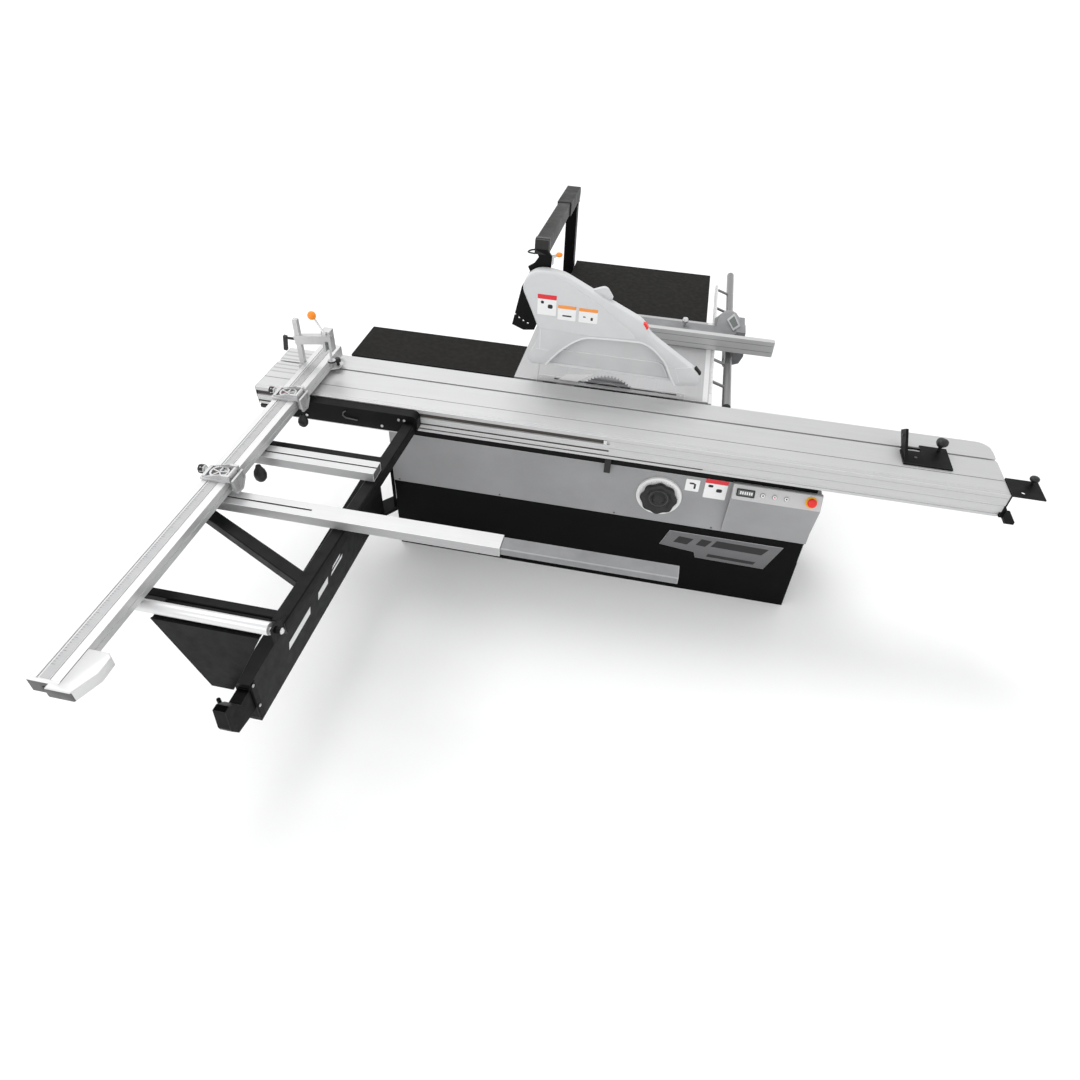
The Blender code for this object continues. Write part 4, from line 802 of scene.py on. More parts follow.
def dress_saw_unit():
    for node, paint, slot in (
        ("support_frame", "black_satin", "black_paint"), ("tilt_frame", "casting_grey", "casting_grey"),
        ("lift_carriage", "iron_rough", "cast_iron"), ("saw_motor", "motor_paint", "casting_grey"),
        ("scoring_unit", "motor_paint", "casting_grey"), ("drive_belt", "rubber", "rubber"),
        ("motor_rotor", "steel", "steel"),
    ):
        refined(node, paint, 0.0012, 1)
    low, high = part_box("saw_motor")
    spot = Vector(((low.x + high.x) / 2, 0, (low.z + high.z) / 2))
    fins = []
    for angle in angles(28):
        spoke = X * math.cos(angle) + Z * math.sin(angle)
        start = spot + spoke * 0.0785 + Y * (low.y + 0.020)
        fins.append(slab(start, Y, spoke, [(0.0, -0.002), (0.200, -0.002), (0.200, 0.006), (0.0, 0.006)],
            0.0018))
    show("motor_fins", together(*fins), "motor_paint", BODY_OF["saw_motor"])

    refined("riving_knife", "white_plastic", 0.0004, 1)
    low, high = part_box("main_blade")
    hub = Vector(((low.x + high.x) / 2, 0, (low.z + high.z) / 2))
    mid = Y * BLADE_Y
    radius = (high.x - low.x) / 2
    teeth = 60
    outline = []
    for i in range(teeth):
        start = 2 * math.pi * i / teeth
        for share, depth in ((0.0, 0.0), (0.30, 0.0018), (0.42, 0.0085), (0.62, 0.0105), (0.82, 0.0070)):
            angle = start + 2 * math.pi * share / teeth
            outline.append((hub.x + (radius - depth) * math.cos(angle),
                hub.z + (radius - depth) * math.sin(angle)))
    plate = show("blade_plate", prism("y", outline, mid.y - 0.0010, mid.y + 0.0010), "blade_steel",
        BODY_OF["main_blade"], ["main_blade"])
    tips = []
    for i in range(teeth):
        angle = 2 * math.pi * i / teeth
        spoke = X * math.cos(angle) + Z * math.sin(angle)
        side = spoke.cross(Y)
        tips.append(slab(hub + mid - Y * 0.0011 + spoke * (radius - 0.0032) + side * -0.0010, side, spoke,
            [(-0.0016, -0.003), (0.0010, -0.003), (0.0010, 0.0028), (-0.0016, 0.0024)], -0.0022))
    show("blade_tips", together(*tips), "alloy_cast", BODY_OF["main_blade"])
    for angle in angles(4):
        spoke = X * math.cos(angle + 0.4) + Z * math.sin(angle + 0.4)
        side = spoke.cross(Y)
        start = hub + spoke * (radius - 0.030) + Y * (mid.y + 0.01)
        cut(plate, slab(start, side, spoke, [(-0.0008, 0), (0.0008, 0), (0.0008, 0.045), (-0.0008, 0.045)],
            0.02))
    arbor = turned(hub + Y * (mid.y - 0.022), hub + Y, [
        (0.0125, 0.0), (0.0140, 0.0015), (0.0140, 0.0100), (0.0330, 0.0105), (0.0340, 0.0115), (0.0340, 0.0272),
            (0.0330, 0.0278),
        (0.0150, 0.0282), (0.0150, 0.0521), (0.0280, 0.0525), (0.0280, 0.0720), (0.0150, 0.0724),
        (0.0150, 0.1200)], 40)
    rings = []
    for reach in (0.060, 0.092, 0.118):
        rings.append(tube([hub + Y * (mid.y - 0.0010) + (X * math.cos(a) + Z * math.sin(a)) * reach for a in angles(64)], 0.0006, 6, True))
    show("blade_arbor", together(arbor, *rings), "steel", BODY_OF["main_blade"])
    refined("scoring_blade", "blade_steel", 0.0003, 1)


# ---------------------------------------------------------------- sliding table
def dress_sliding_table():
    low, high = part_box("sliding_table")
    front, rear, top = low.y, high.y, high.z
    slot, groove = -0.206, -0.3515
    deep = 0.010

    def tee(y, neck, width):
        """A T-slot cut down from the top, walked from rear to front."""
        return [
            (y + neck, top), (y + neck, top - deep), (y + width, top - deep), (y + width, top - 0.022),
            (y - width, top - 0.022), (y - width, top - deep), (y - neck, top - deep), (y - neck, top),
        ]

    section = [(rear, 0.866), (rear, top)] + tee(slot, 0.006, 0.013)
    for y in (groove, -0.424, -0.4365):
        half = 0.0020 if y == groove else 0.0009
        section += [(y + half, top), (y + half, top - 2.2 * half), (y - half, top - 2.2 * half),
            (y - half, top)]
    section += [
        (front, top), (front, 0.8625), (-0.4385, 0.8600), (-0.4385, 0.8420), (front, 0.8395), (front, 0.8270),
        (-0.4435, 0.8225), (-0.4435, 0.8120), (-0.4410, 0.8105), (-0.4410, 0.8035), (-0.4435, 0.8020),
        (-0.4435, 0.7920),
        (-0.4300, 0.7872), (-0.4300, 0.7760), (-0.4265, 0.7745), (-0.4265, 0.7700), (-0.4300, 0.7685),
        (-0.4300, 0.7570),
        (-0.2190, 0.7570), (-0.1100, 0.8660),
    ]
    cap = 0.0025
    table = show("sliding_table_profile", prism("x", section, low.x + cap, high.x - cap), "alloy_x", "slide",
                 ["sliding_table"], 0.0007, 2, worn_lit_edge_paint="alloy_bright")
    corner_r = 0.060
    x, y = high.x - corner_r, rear - corner_r
    corner = arc(x, y, corner_r, 0, 90, 12) + [(x, rear + 0.02), (high.x + 0.02, rear + 0.02),
        (high.x + 0.02, y)]
    cut(table, prism("z", corner, 0.74, 0.90))
    rim = [
        (rear, 0.8665), (rear, top - 0.0008), (slot + 0.014, top - 0.0008), (slot + 0.014, top - 0.024),
            (slot - 0.014, top - 0.024),
        (slot - 0.014, top - 0.0008), (front + 0.0005, top - 0.0008), (front + 0.0005, 0.8275),
        (-0.4430, 0.8225), (-0.4430, 0.7920),
        (-0.4295, 0.7872), (-0.4295, 0.7575), (-0.2190, 0.7575), (-0.1105, 0.8665),
    ]
    show("table_cap_left", prism("x", rim, low.x, low.x + cap - 0.0001), "dark_plastic", "slide",
        bevel=0.0008)
    inner_rim = [(min(y, rear - corner_r), z) for y, z in rim]
    show("table_cap_right", prism("x", inner_rim, high.x - cap + 0.0001, high.x), "casting_pale", "slide",
        bevel=0.0008)
    show("front_slot_cover", prism("x", [(-0.4386, 0.8600), (front - 0.0004, 0.8622), (front - 0.0004, 0.8398),
        (-0.4386, 0.8420)], 0.046, high.x - cap),
         "alloy_x", "slide", bevel=0.0008)
    face = prism("x", [(front + 0.0035, 0.8224), (-0.4445, 0.8224), (-0.4445, 0.7925), (-0.4436, 0.7925)],
        0.046, high.x - cap)
    show("front_face_strip", face, "alloy_x", "slide")
    # Dark strips laid in the grooves, the T-slot and the front steps: painted shade.
    lines = [
        block((low.x + cap, groove - 0.0017, top - 0.0040), (high.x - cap, groove + 0.0017, top - 0.0012)),
        block((low.x + cap, slot - 0.0056, top - 0.0219), (high.x - cap - 0.40, slot + 0.0056, top - 0.0217)),
        prism("x", [(-0.4388, 0.8596), (-0.4400, 0.8596), (-0.4400, 0.8424), (-0.4388, 0.8424)], low.x + cap,
        0.019),
        prism("x", [(-0.4414, 0.8102), (-0.4426, 0.8102), (-0.4426, 0.8038), (-0.4414, 0.8038)], low.x + cap,
        0.045),
        prism("x", [(-0.4269, 0.7742), (-0.4280, 0.7742), (-0.4280, 0.7703), (-0.4269, 0.7703)], low.x + cap,
        0.450),
    ]
    show("table_slot_shade", together(*lines), "slot_shade", "slide")
    bands = []
    for y in (-0.118, -0.150, -0.182, -0.236, -0.268, -0.300):
        bands.append(block((low.x + cap, y - 0.0045, top + 0.0001), (-1.385, y + 0.0045, top + 0.0003)))
    show("table_end_bands", together(*bands), "alloy_cover", "slide")
    stop = together(block((0.020, front - 0.0010, 0.8420), (0.034, -0.4385, 0.8600)),
        bolt_head((0.027, front - 0.0010, 0.851), -Y, 0.005, 0.0015))
    show("front_slot_stop", stop, "alloy_bright", "slide", bevel=0.0006)
    tuck = together(
        block((low.x + 0.004, -0.4440, 0.770), (low.x + 0.034, -0.4305, 0.785)),
        turned((low.x + 0.150, -0.4350, 0.8515), (low.x + 0.150, -0.4480, 0.8515),
        [(0.008, 0), (0.008, 0.010), (0.006, 0.0129)], 20),
    )
    show("left_end_stop", tuck, "black_plastic", "slide", bevel=0.0015)

    refined("end_plate", "black_satin", 0.0010, 2, worn_lit_edge_paint="black_worn_lit_edge")
    refined("edging_shoe", ["black_satin", "dark_plastic"], 0.0010, 2, worn_lit_edge_paint="black_worn_lit_edge",
            part=lambda c, n: 1 if c.z < 0.8875 and n.z > 0.5 and c.x < 1.40 else 0)
    for node in ("end_knob", "shoe_knob"):
        lo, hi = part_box(node)
        foot = Vector(((lo.x + hi.x) / 2, (lo.y + hi.y) / 2, lo.z))
        knob = turned(foot, foot + Z, knob_profile((hi.x - lo.x) / 2, hi.z - lo.z, 0.30), 60,
            3 if node == "shoe_knob" else 0, 0.10 if node == "shoe_knob" else 0.0)
        show(node + "_grip", knob, "black_plastic", BODY_OF[node], [node])
    lo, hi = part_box("edging_shoe")
    bolts = [bolt_head((1.300, -0.285, 0.8881), Z, 0.006, 0.003),
        bolt_head((1.256 - 0.0065, -0.190, 0.930), -X, 0.005, 0.003)]
    show("shoe_bolts", together(*bolts), "dark_plastic", BODY_OF["edging_shoe"])


# ---------------------------------------------------------------- outrigger
def dress_outrigger():
    refined("outrigger_frame", "black_satin", 0.0022, 2, worn_lit_edge_paint="black_worn_lit_edge")
    bolts = []
    for x in (-1.370, -1.330, -0.870, -0.845):
        bolts.append(bolt_head((x, -0.4992, 0.850), -Y, 0.0060, 0.004))
    for x in (-1.30, -0.95):
        bolts.append(bolt_head((x, -0.4992, 0.806), -Y, 0.0065, 0.004))
    show("rail_bolts", together(*bolts), "steel", "slide")
    hook = tube([(-1.110, -0.5035, 0.858), (-1.122, -0.5060, 0.850), (-1.124, -0.5080, 0.836),
        (-1.112, -0.5080, 0.826), (-1.060, -0.5060, 0.820)], 0.0030, 10)
    show("rail_hook", hook, "dark_plastic", "slide")
    lip = block((-1.372, -0.4985, 0.7800), (-0.868, -0.4900, 0.7846))
    show("rail_lip", lip, "alloy_bright", "slide", bevel=0.0008)
    pins = []
    for x, way in ((-1.4002, -X), (-0.8228, X)):
        pins.append(hex_head((x, ROLLER_Y, 0.857), way, 0.0085, 0.006))
    for x in (-0.868, -0.858):
        pins.append(tube([(x, ROLLER_Y + 0.018, 0.842), (x, ROLLER_Y + 0.006, 0.848),
            (x, ROLLER_Y - 0.004, 0.850), (x, ROLLER_Y - 0.014, 0.846)], 0.0035, 10))
    for y in (-0.62, -0.98, -1.34, -1.60):
        x = -1.4152
        pins.append(bolt_head((x, y, 0.815), -X, 0.006, 0.003))
    show("roller_pins", together(*pins), "alloy_bright", "slide")
    ends = [
        block((-1.4145, -1.7030, 0.7905), (-1.3755, -1.7003, 0.8395)),
        prism("z", [(-0.8875, -1.6803), (-0.8385, -1.6803), (-0.8385, -1.6830), (-0.8875, -1.6830)], 0.7905,
        0.8395),
    ]
    show("tube_plugs", together(*ends), "black_plastic", "slide", bevel=0.0008)

    # Top faces take the lighter alloy and the other faces the darker cover alloy: painted light on the tops,
    # painted shade on the sides.
    refined("support_bar_rear", ["alloy_cover", "alloy_x"], 0.0012, 2, worn_lit_edge_paint="alloy_bright",
        part=lambda c, n: 1 if n.z > 0.5 else 0)
    refined("support_bar_front", ["alloy_cover", "alloy_x"], 0.0012, 2, worn_lit_edge_paint="alloy_bright",
        part=lambda c, n: 1 if n.z > 0.5 else 0)
    refined("support_extension", "casting_grey", 0.0018, 2, worn_lit_edge_paint="casting_pale")
    caps = []
    for node, ends_at in (("support_bar_rear", 1), ("support_bar_rear", 0), ("support_bar_front", 0)):
        lo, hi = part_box(node)
        x0, x1 = (hi.x - 0.0030, hi.x - 0.0001) if ends_at else (lo.x + 0.0001, lo.x + 0.0030)
        caps.append(block((x0, lo.y + 0.0038, lo.z + 0.0038), (x1, hi.y - 0.0038, hi.z - 0.0042)))
    show("bar_plugs", together(*caps), "dark_plastic", "slide", bevel=0.0006)
    eggs = []
    for x, y, low_z, high_z, wide in ((-1.2745, -0.980, 0.803, 0.877, 0.0255),
            (-1.2545, -0.620, 0.831, 0.887, 0.0220)):
        tall = high_z - low_z
        eggs.append(turned((x, y, low_z), (x, y, high_z), [
            (0.001, 0.0), (wide * 0.55, tall * 0.04), (wide * 0.90, tall * 0.20), (wide, tall * 0.42),
                (wide * 0.86, tall * 0.66),
            (wide * 0.52, tall * 0.86), (wide * 0.40, tall), (0.001, tall)], 32))
    show("support_knobs", together(*eggs), "black_plastic", "slide")

    lo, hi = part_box("support_roller")
    spot = centre_of("support_roller")
    start = Vector((lo.x, spot.y, spot.z))
    length, r = hi.x - lo.x, (hi.z - lo.z) / 2
    profile = [
        (0.0055, 0.0), (0.0060, 0.001), (0.0060, 0.0120), (r * 0.70, 0.0122), (r * 0.96, 0.0130), (r, 0.0150),
            (r, length - 0.0150),
        (r * 0.96, length - 0.0130), (r * 0.70, length - 0.0122), (0.0060, length - 0.0120),
        (0.0060, length - 0.001), (0.0055, length),
    ]
    show("roller_tube", turned(start, start + X, profile, 48), "alloy_bright", BODY_OF["support_roller"],
        ["support_roller"])


# ---------------------------------------------------------------- overhead arm and blade guard
def dress_overhead():
    arm = BODY_OF["overhead_arm"]
    refined("overhead_column", "black_gloss", 0.0040, 3, worn_lit_edge_paint="black_worn_lit_edge")
    plate_rear, elbow_start = 0.0095, 0.84
    refined("overhead_arm", ["arm_grey", "black_satin"], 0.0045, 3,
            part=lambda c, n: 1 if (c.y < plate_rear and c.z < 1.455) or c.y > elbow_start else 0)
    bolts = []
    for x in (-0.055, 0.055):
        for y in (-0.055, 0.055):
            bolts.append(hex_head(COLUMN + Vector((x, y, 0.0101)), Z, 0.008, 0.008))
    show("column_bolts", together(*bolts), "steel", "frame")
    ring = [COLUMN + Vector((x, y, 1.236)) for x, y in ((-0.0325, -0.0325), (0.0325, -0.0325), (0.0325, 0.0325),
        (-0.0325, 0.0325))]
    show("arm_turning_ring", tube(ring, 0.0022, 8, True), "black_satin", arm)

    # A collar across the low end of the arm, with a flat loop to pull the index pin by.
    start, end = Vector((-0.3650, 0.056, 1.4601)), Vector((-0.3632, 0.022, 1.4649))
    along = (end - start).normalized()
    across = along.cross(Z).normalized()
    rise = across.cross(along)
    collar = []
    half = 0.0292  # half the arm's width, with a hair of room
    for wide, way in ((0.060, rise), (0.060, -rise), (0.0615, across), (0.0615, -across)):
        centre = start.lerp(end, 0.5) + way * half
        collar.append(slab(centre, along, way.cross(along), rounded(0.030, wide, 0.003), 0.0016))
    show("arm_collar", together(*collar), "black_plastic", arm, bevel=0.0006)
    loop = flowing([(-0.3900, -0.0020, 1.4400), (-0.4202, 0.0115, 1.4380), (-0.4150, 0.0350, 1.4378),
        (-0.3935, 0.0493, 1.4378), (-0.3880, 0.0400, 1.4400)], 6)
    show("pin_loop", tube(loop, 0.0034, 12), "black_plastic", arm)
    pin = turned((-0.2985, 0.0030, 1.4430), (-0.2720, 0.0030, 1.4455),
        [(0.0045, 0), (0.0090, 0.004), (0.0105, 0.012), (0.0085, 0.022), (0.0030, 0.026)], 24)
    show("index_pin", pin, "orange_plastic", arm)
    bracket = prism("y", [(-0.3150, 1.3985), (-0.3155, 1.4380), (-0.2980, 1.4440), (-0.2965, 1.4350),
        (-0.3090, 1.4290), (-0.3100, 1.4000)], -0.0030, 0.0090)
    show("index_bracket", bracket, "alloy_cast", arm, bevel=0.0008)
    boss = turned(GUARD_PIVOT + Y * 0.0092, GUARD_PIVOT + Y * 0.021,
        [(0.020, 0), (0.020, 0.004), (0.012, 0.005), (0.012, 0.010), (0.010, 0.0115)], 30)
    show("guard_pivot", boss, "steel", arm)


GUARD_FRONT, GUARD_REAR = -0.055, -0.005
GUARD_TOP = [
    (-0.3829, 0.9539), (-0.4010, 0.9802), (-0.3596, 1.0630), (-0.3536, 1.1287), (-0.4000, 1.2377),
        (-0.4313, 1.3064), (-0.4182, 1.3488),
    (-0.3909, 1.3791), (-0.3556, 1.3923), (-0.3051, 1.3913), (-0.2546, 1.3842), (-0.1303, 1.3246),
    (0.1030, 1.2175), (0.1343, 1.1650),
    (0.2201, 1.1085), (0.3595, 1.0196), (0.3797, 0.9974), (0.3837, 0.9681), (0.3757, 0.9509),
]
GUARD_ARCH = [
    (0.2777, 0.9347), (0.2545, 0.9701), (0.2191, 1.0418), (0.1605, 1.0984), (0.1110, 1.1226), (-0.0122, 1.1186),
        (-0.1374, 1.1125),
    (-0.1950, 1.0812), (-0.2606, 1.0206), (-0.3111, 0.9549),
]


def eased(points, reach, steps=3):
    """An open outline with each inner corner swapped for a short curve, at most reach from it."""
    made = [tuple(points[0])]
    for before, here, after in zip(points, points[1:], points[2:]):
        before, here, after = Vector(before), Vector(here), Vector(after)
        near = here + (before - here).normalized() * min(reach, (before - here).length * 0.45)
        far = here + (after - here).normalized() * min(reach, (after - here).length * 0.45)
        for k in range(steps + 1):
            t = k / steps
            made.append(tuple(near * (1 - t) ** 2 + here * (2 * t * (1 - t)) + far * t ** 2))
    made.append(tuple(points[-1]))
    return made


def dress_guard():
    body = BODY_OF["blade_guard"]
    top, arch = eased(GUARD_TOP, 0.030, 4), eased(GUARD_ARCH, 0.024, 3)
    skin = 0.0042
    shell = show("guard_shell", prism("y", top + arch, GUARD_FRONT, GUARD_REAR), "guard_grey", body,
        ["blade_guard"], 0.0085, 4, 30.0)
    apply_step(shell, "edges")
    inner = sideways(top, skin)
    inner = [(inner[0][0], 0.90)] + inner + [(inner[-1][0], 0.90)]
    cut(shell, prism("y", inner, GUARD_FRONT + skin, GUARD_REAR - skin))
    shell.data.set_sharp_from_angle(angle=math.radians(30.0))

    back = [
        (-0.3150, 0.9360), (0.2760, 0.9360), (0.2930, 0.9500),
        (0.2380, 1.0420), (0.1680, 1.1050), (0.1120, 1.1300), (-0.1370, 1.1200), (-0.1990, 1.0860),
        (-0.2680, 1.0220), (-0.3240, 0.9480),
    ]
    show("guard_back", prism("y", back, GUARD_REAR - 0.0038, GUARD_REAR - 0.0002), "guard_grey", body,
        bevel=0.0010)
    inside = GUARD_REAR - 0.0038
    # the lips and the rib below take the lighter guard grey: painted highlight along them
    lip = prism("y", [(-0.3145, 0.9364), (0.2755, 0.9364), (0.2835, 0.9480), (-0.3200, 0.9500)],
        inside - 0.0050, inside - 0.0001)
    show("guard_back_lip", lip, "guard_edge", body, bevel=0.0012)
    rib = flowing([(-0.262, inside, 1.006), (-0.2414, inside, 1.0173), (-0.10, inside, 1.0180),
        (0.10, inside, 1.0178), (0.1905, inside, 1.0168), (0.222, inside, 0.992), (0.240, inside, 0.950)], 6)
    show("guard_back_rib", tube(rib, 0.0036, 12), "guard_edge", body)

    band = arch + sideways(arch, 0.0085)[::-1]
    show("guard_arch_lip", prism("y", band, GUARD_FRONT - 0.0016, GUARD_FRONT + 0.0010), "guard_edge", body,
        bevel=0.0012)
    raised = [
        (-0.3485, 1.1347), (-0.3940, 1.2398), (-0.4222, 1.3064), (-0.4111, 1.3428), (-0.3859, 1.3700),
            (-0.3556, 1.3822), (-0.3051, 1.3812),
        (-0.2495, 1.3650), (-0.1997, 1.3367), (-0.0930, 1.2781), (0.0653, 1.1632), (0.0838, 1.1378),
        (0.0383, 1.1327), (-0.1353, 1.1273),
    ]
    show("guard_face", prism("y", eased(raised + raised[:1], 0.020, 3)[:-1], GUARD_FRONT - 0.0020,
        GUARD_FRONT + 0.0010), "guard_grey", body, bevel=0.0018, segments=3)
    # the small ribs take the lighter guard grey: painted highlight along them
    ribs = [
        block((-0.3450, GUARD_FRONT - 0.0012, 1.0337), (-0.3409, GUARD_FRONT + 0.001, 1.1297)),
        block((-0.3616, GUARD_FRONT - 0.0012, 1.0312), (-0.3000, GUARD_FRONT + 0.001, 1.0342)),
        prism("y", [(0.2706, 1.0236), (0.3393, 1.0367), (0.3383, 1.0398), (0.2686, 1.0266)],
        GUARD_FRONT - 0.0012, GUARD_FRONT + 0.001),
        prism("y", [(0.2686, 1.0236), (0.2711, 1.0236), (0.2974, 0.9580), (0.2944, 0.9580)],
        GUARD_FRONT - 0.0012, GUARD_FRONT + 0.001),
    ]
    show("guard_ribs", together(*ribs), "guard_edge", body, bevel=0.0008)
    hump = [(-0.1334, 1.3206), (-0.0839, 1.3403), (-0.0667, 1.3367), (-0.0364, 1.2943), (-0.0627, 1.2842),
        (-0.1233, 1.3115)]
    show("guard_hump", prism("y", eased(hump + hump[:1], 0.010, 3)[:-1], GUARD_REAR - 0.022,
        GUARD_REAR - 0.004), "guard_grey", body, bevel=0.0030, segments=3)
    pointer = prism("y", [(0.1019, 1.2115), (0.0969, 1.1963), (0.1171, 1.1812), (0.1282, 1.1933),
        (0.1151, 1.2115)], GUARD_FRONT + 0.004, GUARD_FRONT + 0.026)
    show("guard_pointer", pointer, "red_plastic", body, bevel=0.0020, segments=3)
    buffer = prism("y", [(0.3514, 1.0236), (0.3595, 1.0327), (0.3858, 1.0049), (0.3797, 0.9963)],
        GUARD_FRONT + 0.014, GUARD_REAR - 0.014)
    show("guard_buffer", buffer, "rubber", body, bevel=0.0020)
    face = GUARD_FRONT - 0.0021
    card("guard_label_1", (-0.3187, face, 1.2458), X, Z, 0.083, 0.092, "label_red", body,
        [(-0.24, 0.12, 0.16, 0.14), (0.18, -0.06, 0.26, 0.20)])
    card("guard_label_2", (-0.2298, face, 1.2196), X, Z, 0.080, 0.066, "label_orange", body,
        [(0.02, -0.20, 0.50, 0.10)])
    card("guard_label_3", (-0.1359, face, 1.2186), X, Z, 0.082, 0.064, "label_orange", body,
        [(-0.20, -0.10, 0.14, 0.08), (0.20, -0.20, 0.12, 0.22)])


# ---------------------------------------------------------------- crosscut fence, hold-down and stops
def dress_fence():
    refined("crosscut_fence", "alloy_y", 0.0010, 2, worn_lit_edge_paint="alloy_bright")
    lo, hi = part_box("crosscut_fence")
    fence = BODY_OF["crosscut_fence"]
    strip = block((lo.x + 0.0300, lo.y + 0.002, hi.z + 0.0001), (lo.x + 0.0600, hi.y - 0.002, hi.z + 0.0008))
    show("fence_rule", strip, "alloy_cover", fence, bevel=0.0003, segments=1)
    ticks = []
    y = lo.y + 0.05
    count = 0
    while y < hi.y - 0.05:
        wide = 0.012 if count % 5 == 0 else 0.007
        ticks.append(block((lo.x + 0.031, y, hi.z + 0.0009), (lo.x + 0.031 + wide, y + 0.0009, hi.z + 0.0011)))
        y += 0.010
        count += 1
    show("fence_scale", together(*ticks), "label_black", fence)
    end = together(
        block((lo.x + 0.002, hi.y + 0.0001, lo.z + 0.017), (hi.x - 0.002, hi.y + 0.0030, hi.z - 0.002)),
        bolt_head((lo.x + 0.030, hi.y + 0.0031, 0.925), Y, 0.005, 0.003),
        bolt_head((hi.x - 0.030, hi.y + 0.0031, 0.925), Y, 0.005, 0.003),
    )
    show("fence_end_cap", end, "dark_plastic", fence, bevel=0.0010)
    gusset = prism("z", [(hi.x + 0.0006, -0.150), (hi.x + 0.0400, -0.185), (hi.x + 0.0400, -0.235),
        (hi.x + 0.0006, -0.262)], 0.8990, 0.9030)
    web = prism("x", [(-0.258, 0.9030), (-0.156, 0.9030), (-0.176, 0.9330), (-0.240, 0.9330)], hi.x + 0.0006,
        hi.x + 0.0040)
    clamp = turned((hi.x + 0.022, -0.212, 0.9032), (hi.x + 0.022, -0.212, 0.940),
        knob_profile(0.015, 0.036, 0.45), 40, 5, 0.07)
    show("fence_gusset", together(gusset, web), "alloy_cast", fence, bevel=0.0012)
    show("fence_gusset_knob", clamp, "black_plastic", fence)

    refined("fence_extension", ["alloy_y", "dark_plastic"], 0.0014, 2, worn_lit_edge_paint="alloy_bright",
            part=lambda c, n: 1 if c.y < -2.1110 and n.y < -0.5 else 0)
    bolt = bolt_head((-1.330, -2.1123, 0.920), -Y, 0.006, 0.003)
    show("extension_bolt", bolt, "dark_plastic", BODY_OF["fence_extension"])

    refined("holddown_post", "alloy_cast", 0.0022, 3, worn_lit_edge_paint="alloy_bright")
    refined("holddown_foot", ["steel", "rubber"], 0.0008, 1, part=lambda c, n: 1 if c.z < 0.972 else 0)
    refined("holddown_lock", "black_plastic", 0.0024, 3)
    lever = node_mesh("holddown_lever")
    for face in lever.faces:
        face.material_index = 1 if face.calc_center_median().z < 1.1770 else 0
    show("holddown_lever_skin", lever, ["orange_plastic", "steel"], BODY_OF["holddown_lever"],
        ["holddown_lever"], 0.0006, 1, 45.0)
    start = Vector((-1.2860, -0.3165, 1.1745))
    way = Vector((-0.3510, 0.0, 0.9360)).normalized()
    ball = [(0.0070, 0.0), (0.0125, 0.0035), (0.0165, 0.0085), (0.0185, 0.0150), (0.0180, 0.0215),
        (0.0155, 0.0275), (0.0105, 0.0320), (0.0040, 0.0342), (0.0003, 0.0346)]
    show("lever_ball", turned(start, start + way, ball, 36), "orange_plastic", BODY_OF["holddown_lever"])
    bolts = [bolt_head((-1.2279, -0.289, 1.090), X, 0.006, 0.003),
        bolt_head((-1.389, -0.3152, 0.920), -Y, 0.006, 0.004),
        bolt_head((-1.389, -0.289, 1.1501), Z, 0.006, 0.002)]
    show("holddown_bolts", together(*bolts), "steel", fence)


def ring_casting(centre, u, v, outer, inner, thick, spokes):
    """A faceted ring with spokes, standing in the plane of u and v, thick along u x v."""
    rise = u.cross(v)
    parts = []
    sides = 12
    for i in range(sides):
        a, b = 2 * math.pi * i / sides, 2 * math.pi * (i + 1) / sides
        quad = [(outer * math.cos(a), outer * math.sin(a)), (outer * math.cos(b), outer * math.sin(b)),
            (inner * math.cos(b), inner * math.sin(b)), (inner * math.cos(a), inner * math.sin(a))]
        parts.append(slab(centre - rise * thick / 2, u, v, quad, thick))
    for angle in spokes:
        turn = math.radians(angle)
        way, across = u * math.cos(turn) + v * math.sin(turn), v * math.cos(turn) - u * math.sin(turn)
        bar = [(0.0, -0.0028), (outer * 0.93, -0.0028), (outer * 0.93, 0.0028), (0.0, 0.0028)]
        parts.append(slab(centre - rise * thick * 0.42, way, across, bar, thick * 0.84))
    return together(*parts)


